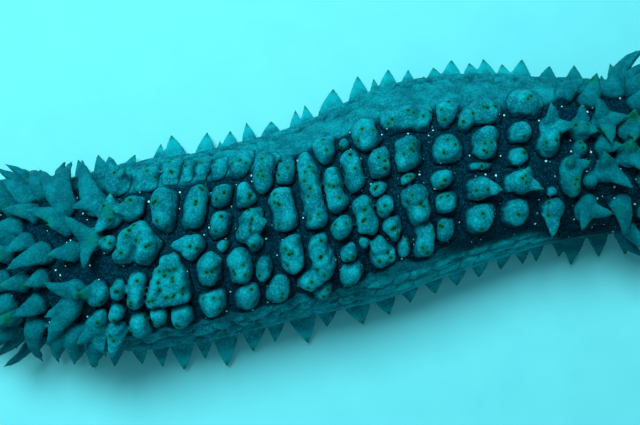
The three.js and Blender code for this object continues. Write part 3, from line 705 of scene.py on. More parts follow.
points = {
    "radius": 6.4,
    "lift": 10,
    "liftSpread": 4,
    "knee": 0.42,
    "root": 4,
    "flatness": 0.62,
    "ridge": 1.8,
    "baseHeight": 7,
    "baseWidth": 1.05,
    "longFrom": 20,
    "longWidth": 1.1,
    "startWidth": 1.06,
    "taper": 1.5,
    "leastWidth": 0.05,
    "tipWidth": 0.1,
    "tipFall": 4,
    "sides": 20,
    "rings": 16,
}
pointTips = []  # where the tips of the papillae and of the fringe lie


def sweepPlace(start, knee, tip, sideways, widthAt, flatness, ridge):
    def place(ball):
        share = (1 + ball[:, 2:3]) / 2
        spine = (1 - share) ** 2 * start + 2 * share * (1 - share) * knee + share**2 * tip
        tangent = 2 * (1 - share) * (knee - start) + 2 * share * (tip - knee)
        forward = np.cross(sideways, tangent)
        forward /= np.maximum(1e-9, np.linalg.norm(forward, axis=1, keepdims=True))
        reach = np.maximum(1e-9, np.hypot(ball[:, 0:1], ball[:, 1:2]))
        cos, sin = ball[:, 0:1] / reach, ball[:, 1:2] / reach
        rounded = np.maximum(1e-6, np.abs(cos) ** ridge + np.abs(sin) ** ridge) ** (-1 / ridge)
        width = np.where(reach > poleReach, widthAt(share) * rounded, 0)
        return spine + sideways * cos * width + forward * sin * width * flatness

    return place


def addPoint(bm, root, normal, tip, radius):
    length = float(np.linalg.norm(tip - root))
    start = root - normal * points["root"]
    knee = root + normal * points["knee"] * length
    sideways = unit(np.cross(normal, tip - root))

    def widthAt(share):
        width = radius * np.clip(points["startWidth"] - share ** points["taper"], points["leastWidth"], 1)
        return width * np.minimum(1, points["tipFall"] * (1 - share) + points["tipWidth"])

    place = sweepPlace(start, knee, tip, sideways, widthAt, points["flatness"], points["ridge"])
    addSweep(bm, place, points["sides"], points["rings"])
    pointTips.append(tip)


def addStar(bm, star, seed):
    (x, across), reaches = star
    angle = float(angleAcross(x, offRidge(x, across)))
    root, normal = bodyPoint(x, angle), bodyNormal(x, angle)
    for i, (heading, reach) in enumerate(reaches):
        turn = math.radians(heading)
        tipX, tipAcross = x + reach * math.cos(turn), across + reach * math.sin(turn)
        lift = points["lift"] + points["liftSpread"] * vary(seed + i)
        tip = onBack(np.array([tipX]), np.array([tipAcross]), np.array([lift]))[0]
        wide = points["longWidth"] if reach > points["longFrom"] else 1
        addPoint(bm, root, normal, tip, points["radius"] * wide)
    if len(reaches) > 1:
        base = points["radius"] * points["baseWidth"]
        addBlob(bm, knobPlace(x, across, base, points["baseHeight"]))


# Rings of papillae over both ends, each at its own station, which lean out to the end
ringStations = [-163, -174, -185, -194, -202, 173, 184, 194, 204, 213]
rings = {
    "spacing": 16.5,
    "leastCount": 4,
    "reach": 84,
    "leastReach": 0.97,
    "reachSpread": 0.03,
    "length": 21,
    "leastLength": 0.8,
    "lengthSpread": 0.4,
    "pairShare": 0.5,
    "pairAngle": 14,
    "shift": 5,
    "along": 1.1,
    "alongSpread": 0.5,
    "side": 90,
    "up": 0.25,
    "alongNormal": 0.45,
    "outwards": 0.7,
}


def addRingGroup(bm, x, angle, seed):  # one papilla or a pair
    count = 2 if vary(seed + 1) > rings["pairShare"] else 1
    for i in range(count):
        turn = angle + (rings["pairAngle"] * (i - 0.5) if count > 1 else 0)
        root, normal = bodyPoint(x, turn), bodyNormal(x, turn)
        if (root - mouthCentre) @ mouthFacing > -mouth["brow"]:
            continue
        along = math.copysign(rings["along"], x) + rings["alongSpread"] * (vary(seed + 4 + i) - 0.5)
        sideways = (root[1] - float(centreLine(x))) / rings["side"]
        out = unit(np.array([along, sideways, rings["up"]]))
        stretch = rings["leastLength"] + rings["lengthSpread"] * vary(seed + 2 + i)
        length = rings["length"] * stretch
        tip = root + normal * length * rings["alongNormal"] + out * length * rings["outwards"]
        addPoint(bm, root, normal, tip, points["radius"])


def ringPlaces():
    for x in ringStations:
        half, _, edge, top = [float(size) for size in section(x)]
        girth = math.pi / 2 * (half + top - edge) * rings["reach"] / 90
        count = max(rings["leastCount"], round(girth / rings["spacing"]))
        for i in range(count):
            seed = 900 + abs(x) + 5 * i
            angle = rings["reach"] * (-1 + 2 * i / (count - 1))
            angle *= rings["leastReach"] + rings["reachSpread"] * vary(seed)
            yield x + rings["shift"] * (vary(seed) - 0.5), angle, seed


lengthEnds = (-72, 60)  # stations where the pads of one piece end and those of the next begin


def lengthOf(x):  # 0 rear, 1 middle, 2 front
    return sum(x >= end for end in lengthEnds)


backForms = [bmesh.new() for _ in range(3)]
for index, (_, _, _, line) in enumerate(padLines):
    addPad(backForms[lengthOf(line[0][0])], index)
    scatterDots(index)
for i, star in enumerate(stars):
    addStar(backForms[lengthOf(star[0][0])], star, 500 + 9 * i)
endForms = {-1: bmesh.new(), 1: bmesh.new()}
for x, angle, seed in ringPlaces():
    addRingGroup(endForms[int(math.copysign(1, x))], x, angle, seed)

padNames = ["pads_rear", "pads_middle", "pads_front"]
backPieces = [fuse(newPiece(name, form), *fusing["pads"]) for name, form in zip(padNames, backForms)]
endPieces = [
    fuse(newPiece("papillae_rear", endForms[-1]), *fusing["papillae"]),
    fuse(newPiece("papillae_front", endForms[1]), *fusing["papillae"]),
]
for piece in backPieces + endPieces:
    roughen(piece, hideLumps)
print("pads and papillae made")

# The fringe of flat, triangular papillae on both edges of the sole: station, width and length of each, and
# how far its tip lies ahead of its root
farFringe = [
    (-114.5, 9, 8, 1.5), (-96, 8, 11, -1.5), (-85.5, 13.5, 15, -4), (-68.5, 11.5, 14, -0.5),
    (-60, 5, 7, -1), (-53.5, 11, 11.5, -1), (-41, 9.5, 13.5, -3.5), (-28.5, 13.5, 10.5, -2),
    (-14, 8, 12, -1), (-6.5, 8.5, 12, -2), (7.5, 15, 15.5, 0.5), (24, 12, 16, 0),
    (34, 7, 10.5, -1.5), (41, 12, 14, 1.5), (52.5, 9, 11, 2.5), (62, 9, 5.5, 1),
    (70.5, 13, 10, 0), (79, 13.5, 14, 3), (92.5, 13, 12, -0.5), (101, 14, 14.5, 0.5),
    (112, 12, 12, -1), (120, 14, 15.5, 3.5), (136, 13, 12.5, 4.5), (152.5, 12.5, 13, 5),
    (169.5, 6, 8, 2), (179, 12, 16, -2), (191, 12, 14, 4),
]
nearFringe = [
    (-119, 9, 10, -2), (-106, 9, 8, 0), (-94, 9, 10, 1.5), (-81, 12, 13.5, 1.5),
    (-68, 9, 9, 1), (-55.5, 12.5, 16, 0), (-39, 12, 11, -1), (-26, 9, 9, 0),
    (-11, 14, 13, 4), (4, 10, 7, 1), (21, 14, 9, 5), (37, 12, 8, 4),
    (52, 10, 6, 2), (66, 11, 6, 2), (80, 11, 6, 2), (94, 10, 6, 1),
    (108, 9, 6, 1), (119, 9, 6, 2), (128, 8, 7, 1), (142, 9, 7, 2),
    (150, 12, 13, 0), (164, 11, 10, 3), (179, 12, 12, 4), (192, 11, 12, 5),
]
rearFringe = {"from": -128, "to": -192, "spacing": 11, "width": 10, "length": 11, "lean": -7}
fringe = {
    "root": 6,
    "halfThickness": 1.9,
    "height": 12.5,
    "tipHeight": 4.5,
    "widthShare": 0.62,
    "droop": 1.5,
    "startWidth": 1.02,
    "taper": 1.7,
    "leastWidth": 0.03,
    "startThickness": 1.05,
    "thinning": 0.75,
    "bow": 0.9,
    "bowShare": 0.3,
    "sides": 22,
    "rings": 16,
    "rimRadius": 2.6,
    "rimHeight": 9.1,
    "rimInset": 4.6,
    "rimFrom": -190,
    "rimTo": 200,
    "rimSteps": 130,
    "rimSides": 14,
    "rimEndShare": 12,
}


def addFlap(bm, flap, side, seed):
    x, width, length, lean = flap
    half, bottom = [float(size) for size in section(x)[:2]]
    root = np.array([x, float(centreLine(x)) + side * (half - fringe["root"]), bottom + fringe["height"]])
    out = np.array([lean, side * (fringe["root"] + length), 0])
    reach = float(np.linalg.norm(out))
    out = out / reach
    along = np.array([out[1], -out[0], 0])
    drop = fringe["height"] - fringe["tipHeight"]
    bow = fringe["bow"] * (vary(seed + 8) - 0.5)

    def place(ball):
        share = (1 + ball[:, 2]) / 2
        size = axisReach(ball)
        rounded = size > poleReach
        taper = fringe["startWidth"] - share ** fringe["taper"]
        taper = np.clip(taper, fringe["leastWidth"], 1) * rounded
        wide = ball[:, 0] / size * width * fringe["widthShare"] * taper
        thinner = np.clip(fringe["startThickness"] - fringe["thinning"] * share, 0, 1)
        thick = ball[:, 1] / size * fringe["halfThickness"] * thinner * rounded
        spots = root + np.outer(reach * share, out)
        spots += np.outer(wide + bow * width * share**2 * fringe["bowShare"], along)
        spots[:, 2] += thick - drop * share ** fringe["droop"]
        return spots

    addSweep(bm, place, fringe["sides"], fringe["rings"])
    pointTips.append(root + out * reach + np.array([0, 0, -drop]))


def addRim(bm, side):
    stations = np.linspace(fringe["rimFrom"], fringe["rimTo"], fringe["rimSteps"])
    half, bottom = section(stations)[:2]
    aside = centreLine(stations) + side * (half - fringe["rimInset"])
    spine = np.stack([stations, aside, bottom + fringe["rimHeight"]], axis=1)
    shares = np.linspace(0, 1, len(stations))

    def place(ball):
        share = (1 + ball[:, 2]) / 2
        centre = np.stack([np.interp(share, shares, spine[:, k]) for k in range(3)], axis=1)
        size = axisReach(ball)
        closing = np.minimum(1, fringe["rimEndShare"] * np.minimum(share, 1 - share))
        radius = fringe["rimRadius"] * closing / size
        centre[:, 1] += ball[:, 0] * radius
        centre[:, 2] += ball[:, 1] * radius
        return centre

    addSweep(bm, place, fringe["rimSides"], 2 * fringe["rimSteps"])


def rearFlaps():  # evenly spaced out to the rear end
    ends = rearFringe
    steps = round(abs(ends["to"] - ends["from"]) / ends["spacing"])
    stations = [ends["from"] + (ends["to"] - ends["from"]) * i / steps for i in range(steps + 1)]
    return [(x, ends["width"], ends["length"], ends["lean"]) for x in stations]


fringePieces = []
for side, name, flaps in ((1, "fringe_far", farFringe), (-1, "fringe_near", nearFringe)):
    bm = bmesh.new()
    for i, flap in enumerate(flaps + rearFlaps()):
        addFlap(bm, flap, side, 2000 + 60 * side + i)
    addRim(bm, side)
    fringePieces.append(fuse(newPiece(name, bm), *fusing["fringe"]))
print("fringe made")

# The dark tips of drawn-in papillae, each a low cone on a pad
dotSizes = {
    "radius": 1,
    "tip": 0.3,
    "height": 0.8,
    "sides": 8,
    "leastSize": 0.6,
    "sizeSpread": 0.75,
    "above": 25.0,
    "deepest": 22,
    "halo": 1.9,
    "tipHalo": 4.6,
}
padTree = treeOf(backPieces)
dotForm = bmesh.new()
dotSpots = []
for x, across in dots:
    above = onBack(np.array([x]), np.array([across]), np.array([dotSizes["above"]]))[0]
    down = -bodyNormal(x, float(angleAcross(x, offRidge(x, across))))
    spot, normal, _, gone = padTree.ray_cast(Vector(above * mm), Vector(down))
    if spot is None or gone > dotSizes["deepest"] * mm:
        continue
    dotSpots.append(spot)
    turn = normal.to_track_quat("Z", "Y").to_matrix().to_4x4()
    size = dotSizes["leastSize"] + dotSizes["sizeSpread"] * vary(len(dotSpots) + 77)
    bmesh.ops.create_cone(
        dotForm,
        cap_ends=True,
        segments=dotSizes["sides"],
        radius1=dotSizes["radius"] * size * mm,
        radius2=dotSizes["tip"] * size * mm,
        depth=dotSizes["height"] * size * mm,
        matrix=Matrix.Translation(spot) @ turn,
    )
papillaDots = newPiece("papilla_dots", dotForm)
print("dots made", len(dotSpots))

# How near each place is to a dark green tip, how deep in the grooves it lies, and where painted shade and
# painted light lie: shade low on the pads, papillae and flaps, beside them on the skin, on the flanks and at
# both ends, and light on the thin flaps and the near flank's front.
# A pair says from where to where a mark fades in or out, in millimetres, stations or shares of the width
markSizes = {
    "middle": 5,
    "ends": (105, 135),
    "leastHalf": 5,
    "backEdge": (0.7, 0.86),
    "farNarrowing": 0.22,
    "farFrontNarrowing": 0.1,
    "farFront": (45, 95),
    "endWidening": 0.17,
    # painted shade over the far flank and toward the rear of the near flank, and painted light toward the
    # front of the near flank
    "farPaintedShade": 0.45,
    "nearPaintedShade": 0.6,
    "nearPaintedShadeEnd": (-120, 0),
    "nearPaintedLight": 0.6,
    "nearPaintedLightFrom": (0, 60),
    # painted shade low on the sides of pads, papillae and flaps: where it starts and how far up it reaches
    "sideShadeFrom": 0.2,
    "padSideShade": 4.8,
    "papillaSideShade": 4,
    "fringeSideShade": 1,
    # painted light: the flaps grow paler toward their thin tips, where light would shine through them
    "flapPaintedLight": (2, 12),
    # painted shade on the skin beside the pads and papillae
    "formShade": (1.5, 5.0),
    "openMiddle": 15,
    "openEnds": (70, 95),
    "openLeast": 0.3,
    "openMore": 0.55,
    # a painted shadow round the feet of the pads and papillae
    "outline": (0.2, 1.4),
    "outlineShare": 0.6,
    "solePale": 0.9,
}
skinTree = treeOf([skin])


def pointTree(spots):
    tree = KDTree(len(spots))
    for i, spot in enumerate(spots):
        tree.insert(spot, i)
    tree.balance()
    return tree


spotTree = pointTree(dotSpots)
tipTree = pointTree([Vector(spot * mm) for spot in pointTips])


# Besides widening the back, this share lays painted shade over both ends through the end mark.
def endShare(coords):  # 0 along the trunk, 1 on the two ends
    return smoothStep(np.abs(coords[:, 0] / mm - markSizes["middle"]), *markSizes["ends"])


def onBackShare(coords):  # 1 among the pads and on the ends, 0 on the flanks
    x = coords[:, 0] / mm
    inside = np.clip(x, body["rearTip"] + 1, body["frontTip"] - 1)
    half = np.maximum(markSizes["leastHalf"], section(inside)[0])
    aside = np.abs(coords[:, 1] / mm - centreLine(x)) / half
    frontNarrowing = markSizes["farFrontNarrowing"] * smoothStep(x, *markSizes["farFront"])
    farther = (markSizes["farNarrowing"] + frontNarrowing) * (coords[:, 1] / mm > centreLine(x))
    widening = markSizes["endWidening"] * endShare(coords)
    return 1 - smoothStep(aside + farther - widening, *markSizes["backEdge"])


def flankShadeAndLight(coords):  # painted shade and painted light on the flanks: painted shade over the far flank and toward the rear of the near one, painted light toward the front of the near one
    x = coords[:, 0] / mm
    flank = 1 - onBackShare(coords)
    far = coords[:, 1] / mm > centreLine(x)
    nearPaintedShade = markSizes["nearPaintedShade"] * (1 - smoothStep(x, *markSizes["nearPaintedShadeEnd"]))
    dark = flank * np.where(far, markSizes["farPaintedShade"], nearPaintedShade)
    nearPaintedLight = markSizes["nearPaintedLight"] * smoothStep(x, *markSizes["nearPaintedLightFrom"])
    paintedLight = flank * np.where(far, 0, nearPaintedLight)
    return dark, paintedLight


def markPiece(piece, shadeReach):
    coords = meshCoords(piece.data)
    toSpot = np.array([spotTree.find(co)[2] for co in coords]) / mm
    toTip = np.array([tipTree.find(co)[2] for co in coords]) / mm
    halo = np.exp(-((toSpot / dotSizes["halo"]) ** 2))
    greenTip = np.exp(-((toTip / dotSizes["tipHalo"]) ** 2))
    storeShare(piece, "tip", np.maximum(halo, greenTip))
    # painted shade low on the sides, darker the nearer a place lies to the skin, kept in the groove mark
    low = 1 - smoothStep(distances(skinTree, coords), markSizes["sideShadeFrom"], shadeReach)
    storeShare(piece, "groove", low * onBackShare(coords))
    # painted shade darkening both ends
    storeShare(piece, "end", endShare(coords))


def markSkin():  # dark among the pads and papillae, with painted shade beside them and a painted shadow round their feet, painted shade in its crease and fold troughs, darker scale seams, painted shade and painted light on the flanks, painted shade at both ends, and even and pale on the sole
    coords = meshCoords(skin.data)
    toForm = distances(treeOf(backPieces + endPieces), coords)
    # painted shade beside the pads and papillae; the open skin between them keeps its own dark colour, darker
    # toward the ends
    formShade = 1 - smoothStep(toForm, *markSizes["formShade"])
    toMiddle = np.abs(coords[:, 0] / mm + markSizes["openMiddle"])
    openShare = markSizes["openLeast"] + markSizes["openMore"] * smoothStep(toMiddle, *markSizes["openEnds"])
    inGrooves = onBackShare(coords) * (openShare + (1 - openShare) * formShade)
    # a painted shadow round the feet of the pads and papillae
    outlines = markSizes["outlineShare"] * (1 - smoothStep(toForm, *markSizes["outline"]))
    sole = skinMarks["sole"]
    upper = 1 - sole
    # painted shade and painted light on the flanks
    dark, paintedLight = flankShadeAndLight(coords)
    # the groove mark: the skin's own dark colour among the pads, with painted shade beside them, painted
    # shadow round their feet, painted shade in the crease and fold troughs, and darker scale seams
    storeShare(skin, "groove", np.maximum(upper * np.maximum(inGrooves, outlines), skinMarks["line"]))
    # the sole's own paleness, and painted light toward the front of the near flank
    storeShare(skin, "paleAndPaintedLight", np.maximum(upper * paintedLight, markSizes["solePale"] * sole))
    storeShare(skin, "tip", np.zeros(len(coords)))
    # painted shade at both ends and over the flanks
    storeShare(skin, "end", upper * np.maximum(endShare(coords), dark))


for piece in backPieces:
    markPiece(piece, markSizes["padSideShade"])
for piece in endPieces:
    markPiece(piece, markSizes["papillaSideShade"])
for piece in fringePieces:
    markPiece(piece, markSizes["fringeSideShade"])
    # painted light: each flap paler the farther it reaches from the skin
    flapReach = distances(skinTree, meshCoords(piece.data))
    storeShare(piece, "paleAndPaintedLight", smoothStep(flapReach, *markSizes["flapPaintedLight"]))
markSkin()
print("marks made")

# The mouth: a plate with a lip and a pit, in two rings of stalked tentacles with lobed shields
mouthSizes = {
    "lip": 5.5,
    "lipFall": 3.5,
    "pit": 2.6,
    "pitEdge": 0.8,
    "inset": 0.5,
    "rimRoom": 3,
    "heights": [0.5, 0.6, 1.3, 1.45, 0.9, 1.0],
    "folds": 14,
    "foldHeight": 0.25,
    "foldReach": 2.4,
    "edgeShare": 0.35,
    "edgeRise": 3.5,
    "backBulge": 0.6,
    "sides": 64,
    "rings": 60,
}
tentacles = {
    "count": 20,
    "ring": 13.5,
    "ringStep": 2.2,
    "length": 13,
    "stalk": 1.7,
    "stalkFlare": 1.2,
    "stalkTaper": 0.3,
    "stalkSides": 12,
    "stalkRings": 10,
    "rootHeight": 0.5,
    "rootDepth": 1.5,
    "leastFall": 0.05,
    "innerTilt": 0.45,
    "outerTilt": 1.05,
    "innerLength": 0.72,
    "outerLength": 1.1,
    "leastLength": 0.9,
    "lengthSpread": 0.2,
    "shield": 5,
    "lobes": 9,
    "lobe": 1.5,
    "leastLobe": 0.85,
    "lobeSpread": 0.3,
    "lobeSunk": 0.2,
    "middleLobe": 1.9,
    "middleSunk": 0.9,
    "necks": (0.55, 1.0),
    "floorRoom": 1.2,
}


def addPlate(bm):
    sizes = mouthSizes
    pit, lip, rim = sizes["pit"], sizes["lip"], mouth["radius"]
    radii = [0, pit, pit + sizes["pitEdge"], lip, lip + sizes["lipFall"], rim - sizes["rimRoom"]]

    def place(ball):
        bearing = np.arctan2(ball[:, 1], ball[:, 0])
        radius = np.hypot(ball[:, 0], ball[:, 1]) * (rim - sizes["inset"])
        fold = sizes["foldHeight"] * np.cos(sizes["folds"] * bearing)
        fold = fold * np.exp(-(((radius - lip) / sizes["foldReach"]) ** 2))
        rounded = np.minimum(1, sizes["edgeRise"] * ball[:, 2])
        rise = mouth["thickness"] * (sizes["edgeShare"] + (1 - sizes["edgeShare"]) * rounded)
        front = np.interp(radius, radii, sizes["heights"]) * rise + fold
        height = np.where(ball[:, 2] > 0, front, sizes["backBulge"] * ball[:, 2]) + mouth["gap"]
        flat = np.outer(radius * np.cos(bearing), mouthUp) + np.outer(radius * np.sin(bearing), mouthSide)
        return mouthCentre + flat + np.outer(height, mouthFacing)

    addSweep(bm, place, sizes["sides"], sizes["rings"])


def addShield(bm, tip, heading, across, index):  # a ring of lobes at a tentacle's tip, with one in its middle
    sizes = tentacles
    ahead = np.cross(across, heading)
    for lobe in range(sizes["lobes"] + 1):
        middle = lobe == sizes["lobes"]
        bearing = 2 * math.pi * lobe / sizes["lobes"]
        far = 0 if middle else sizes["shield"] - sizes["lobe"]
        uneven = sizes["leastLobe"] + sizes["lobeSpread"] * vary(40 * index + lobe)
        size = sizes["lobe"] * (sizes["middleLobe"] if middle else uneven)
        spread = across * math.cos(bearing) + ahead * math.sin(bearing)
        centre = tip + spread * far - heading * (sizes["middleSunk"] if middle else sizes["lobeSunk"])
        for neck in sizes["necks"][:1] if middle else sizes["necks"]:
            spot = tip + (centre - tip) * neck
            addBlob(bm, lambda ball: spot + ball * size, 2)


def addTentacle(bm, index):
    sizes = tentacles
    turn = 2 * math.pi * index / sizes["count"]
    outer = index % 2
    radial = mouthUp * math.cos(turn) + mouthSide * math.sin(turn)
    root = mouthCentre + mouthFacing * mouth["thickness"] * sizes["rootHeight"]
    root = root + radial * (sizes["ring"] + outer * sizes["ringStep"])
    heading = unit(mouthFacing + radial * sizes["outerTilt" if outer else "innerTilt"])
    lowest = sizes["shield"] + sizes["floorRoom"]
    room = (root[2] - lowest) / max(sizes["leastFall"], -heading[2])
    stretch = sizes["leastLength"] + sizes["lengthSpread"] * vary(300 + index)
    wanted = sizes["length"] * sizes["outerLength" if outer else "innerLength"] * stretch
    across = unit(np.cross(heading, radial))
    start = root - heading * sizes["rootDepth"]
    tip = root + heading * min(room, wanted)

    def widthAt(share):
        return sizes["stalk"] * (sizes["stalkFlare"] - sizes["stalkTaper"] * share)

    place = sweepPlace(start, (start + tip) / 2, tip, across, widthAt, 1, 2)
    addSweep(bm, place, sizes["stalkSides"], sizes["stalkRings"])
    addShield(bm, tip, heading, across, index)


bm = bmesh.new()
addPlate(bm)
for index in range(tentacles["count"]):
    addTentacle(bm, index)
mouthPiece = fuse(newPiece("mouth", bm), *fusing["mouth"])
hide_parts("mouth_tentacles")
print("mouth made")

# Tube feet under the sole
feet = {
    "spacing": 7.4,
    "from": -172,
    "to": 184,
    "reach": 0.8,
    "radius": 1.25,
    "neck": 0.8,
    "sides": 7,
    "floor": 0.15,
    "highest": 1.2,
    "top": 2.9,
    "rowShift": 0.5,
    "rowStart": 0.25,
    "stray": 3,
}
bm = bmesh.new()
tall = feet["top"] - feet["floor"]
rows = round((feet["to"] - feet["from"]) / feet["spacing"])
for i in range(rows):
    x = feet["from"] + feet["spacing"] * (i + 0.5)
    half = float(section(x)[0]) * feet["reach"]
    count = max(1, round(2 * half / feet["spacing"]))
    for j in range(count):
        seed = 5000 + 31 * i + j
        station = x + feet["stray"] * (vary(seed) - 0.5)
        place = j + feet["rowShift"] * (i % 2) + feet["rowStart"]
        across = -half + 2 * half * place / count + feet["stray"] * (vary(seed + 400) - 0.5)
        if float(section(station)[1]) > feet["highest"]:
            continue
        spot = Vector((station, float(centreLine(station)) + across, feet["floor"] + tall / 2)) * mm
        bmesh.ops.create_cone(
            bm,
            cap_ends=True,
            segments=feet["sides"],
            radius1=feet["radius"] * mm,
            radius2=feet["neck"] * mm,
            depth=tall * mm,
            matrix=Matrix.Translation(spot),
        )
tubeFeet = newPiece("tube_feet", bm)
print("tube feet made")


# Materials
def linear(hexColour):
    parts = [int(hexColour[i : i + 2], 16) / 255 for i in (1, 3, 5)]
    return [*(c / 12.92 if c < 0.04045 else ((c + 0.055) / 1.055) ** 2.4 for c in parts), 1]


def addNode(tree, kind, settings=None, inputs=None):
    node = tree.nodes.new(kind)
    for name, value in (settings or {}).items():
        setattr(node, name, value)
    for socket, value in (inputs or {}).items():
        if isinstance(value, bpy.types.NodeSocket):
            tree.links.new(value, node.inputs[socket])
        else:
            node.inputs[socket].default_value = value
    return node


def startMaterial(name):
    material = bpy.data.materials.new(name)
    material.use_nodes = True
    tree = material.node_tree
    tree.nodes.clear()
    output = addNode(tree, "ShaderNodeOutputMaterial")
    return material, tree, output


# Wet sea cucumber hide, grown, not made: leathery and granular, dull blue-green under water, nearly black in
# the grooves, its own dark skin with painted shade beside and under the pads, where pale spicules and sand
# grains show as specks, and dark green round each papilla's tip; painted shade on the flanks and both ends,
# and painted light on the thin flaps and the near flank's front
hide = {
    "colour": "#0494a4",
    "lighter": "#22c4ce",
    "darker": "#025c6c",
    # the groove colour is the skin's own near-black among the pads, and also painted shade low on the pads
    # and beside them
    "groove": "#001c2c",
    "grooveLight": "#034a5a",
    # the pale colour below is the sole's own paler skin, and painted light on the thin flaps and toward the
    # front of the near flank
    "paleAndPaintedLight": "#08b4c0",
    # the end colour is painted shade, laid over both ends and over the flanks
    "end": "#02525e",
    "green": "#046a50",
    "tip": "#02382c",
    "speck": "#8ff0f4",
    "mottle": 9,
    "granule": 1.5,
    "grain": 1.2,
    "speckSpacing": 2.7,
    "bump": 0.3,
    "bumpStrength": 0.8,
    "roughness": 0.6,
    "ior": 1.4,
    "specular": 0.06,
    "specularTint": "#40d0e0",
}


def hideMaterial(name, sizes):
    material, tree, output = startMaterial(name)
    place = addNode(tree, "ShaderNodeTexCoord").outputs["Object"]
    marks = {}
    for mark in ("groove", "tip", "paleAndPaintedLight", "end"):
        marks[mark] = addNode(tree, "ShaderNodeAttribute", {"attribute_name": mark}).outputs["Fac"]
    noises = {}
    for label, detail, roughness in (("mottle", 3.0, 0.6), ("grain", 4.0, 0.75)):
        inputs = {"Vector": place, "Scale": 1 / (sizes[label] * mm), "Detail": detail, "Roughness": roughness}
        noises[label] = addNode(tree, "ShaderNodeTexNoise", None, inputs).outputs["Fac"]
    cells = {}
    for label in ("granule", "speckSpacing"):
        inputs = {"Vector": place, "Scale": 1 / (sizes[label] * mm)}
        cells[label] = addNode(tree, "ShaderNodeTexVoronoi", None, inputs)
    granules, specks = cells["granule"].outputs["Distance"], cells["speckSpacing"]

    # specks of uneven size, in a few of the cells and only in the grooves
    draws = addNode(tree, "ShaderNodeSeparateColor", None, {"Color": specks.outputs["Color"]}).outputs
    wide = addNode(tree, "ShaderNodeMath", {"operation": "MULTIPLY_ADD"}, {0: draws[1], 1: 0.2, 2: 0.08})
    factors = {0: wide.outputs[0], 1: specks.outputs["Distance"]}
    inside = addNode(tree, "ShaderNodeMath", {"operation": "SUBTRACT"}, factors)
    speckShare = 1.0
    limits = ((inside.outputs[0], 0.0, 0.08), (draws[0], 0.66, 0.72), (marks["groove"], 0.3, 0.8))
    for source, low, high in limits:
        inputs = {"Value": source, "From Min": low, "From Max": high}
        chosen = addNode(tree, "ShaderNodeMapRange", {"interpolation_type": "SMOOTHSTEP"}, inputs)
        factors = {0: speckShare, 1: chosen.outputs["Result"]}
        speckShare = addNode(tree, "ShaderNodeMath", {"operation": "MULTIPLY"}, factors).outputs[0]

    inputs = {"Value": noises["grain"], "From Min": 0.45, "From Max": 0.7}
    patches = addNode(tree, "ShaderNodeMapRange", None, inputs)
    lit = {0: patches.outputs["Result"], 1: marks["groove"]}
    lightGroove = addNode(tree, "ShaderNodeMath", {"operation": "MULTIPLY"}, lit).outputs[0]

    # colours laid over one another: what says where, from which value to which, how strongly, and the colour
    colour = linear(sizes["darker"])
    layers = (
        (noises["mottle"], 0.35, 0.7, 1.0, "colour"),
        (granules, 0.4, 0.1, 0.3, "lighter"),
        (noises["grain"], 0.5, 0.68, 0.35, "lighter"),
        (noises["grain"], 0.5, 0.34, 0.65, "darker"),
        # the sole's own paleness, and painted light on the flaps and the near flank's front
        (marks["paleAndPaintedLight"], 0.0, 1.0, 0.6, "paleAndPaintedLight"),
        # painted shade at both ends and on the flanks
        (marks["end"], 0.0, 1.0, 0.6, "end"),
        # the skin's own dark colour among the pads, with painted shade and painted shadow laid in it
        (marks["groove"], 0.1, 0.8, 1.0, "groove"),
        (lightGroove, 0.0, 1.0, 1.0, "grooveLight"),
        (marks["tip"], 0.1, 0.75, 0.7, "green"),
        (marks["tip"], 0.65, 1.0, 0.85, "tip"),
        (speckShare, 0.0, 1.0, 1.0, "speck"),
    )
    for source, low, high, most, hue in layers:
        inputs = {"Value": source, "From Min": low, "From Max": high, "To Max": most}
        share = addNode(tree, "ShaderNodeMapRange", {"interpolation_type": "SMOOTHSTEP"}, inputs)
        inputs = {0: share.outputs["Result"], 6: colour, 7: linear(sizes[hue])}
        colour = addNode(tree, "ShaderNodeMix", {"data_type": "RGBA"}, inputs).outputs[2]

    relief = addNode(tree, "ShaderNodeMath", {"operation": "SUBTRACT"}, {0: noises["grain"], 1: granules})
    inputs = {"Height": relief.outputs[0], "Distance": sizes["bump"] * mm, "Strength": sizes["bumpStrength"]}
    bump = addNode(tree, "ShaderNodeBump", None, inputs)
    inputs = {
        "Base Color": colour,
        "Roughness": sizes["roughness"],
        "Normal": bump.outputs["Normal"],
        "IOR": sizes["ior"],
        "Specular IOR Level": sizes["specular"],
        "Specular Tint": linear(sizes["specularTint"]),
    }
    shader = addNode(tree, "ShaderNodeBsdfPrincipled", None, inputs)
    tree.links.new(shader.outputs[0], output.inputs["Surface"])
    return material


wetHide = hideMaterial("wet_granular_hide", hide)

# The tip of a drawn-in papilla: smooth, dark olive green skin, nearly without gloss under water
dotHide = {
    "dark": "#02241a",
    "light": "#04402c",
    "patch": 1.2,
    "roughness": 0.6,
    "ior": 1.4,
    "specular": 0.04,
}
dotMaterial, tree, output = startMaterial("olive_green_papilla_tip")
place = addNode(tree, "ShaderNodeTexCoord").outputs["Object"]
inputs = {"Vector": place, "Scale": 1 / (dotHide["patch"] * mm), "Detail": 2.0}
shade = addNode(tree, "ShaderNodeTexNoise", None, inputs)
inputs = {0: shade.outputs["Fac"], 6: linear(dotHide["dark"]), 7: linear(dotHide["light"])}
inputs = {
    "Base Color": addNode(tree, "ShaderNodeMix", {"data_type": "RGBA"}, inputs).outputs[2],
    "Roughness": dotHide["roughness"],
    "IOR": dotHide["ior"],
    "Specular IOR Level": dotHide["specular"],
}
dotShader = addNode(tree, "ShaderNodeBsdfPrincipled", None, inputs)
tree.links.new(dotShader.outputs[0], output.inputs["Surface"])

# Soft tentacle skin: finer in grain than the back, and a greyer green
tentacleHide = {
    **hide,
    "colour": "#2c7a70",
    "lighter": "#54a898",
    "darker": "#1c544e",
    "mottle": 5,
    "granule": 0.8,
    "bump": 0.25,
}
tentacleSkin = hideMaterial("soft_tentacle_skin", tentacleHide)

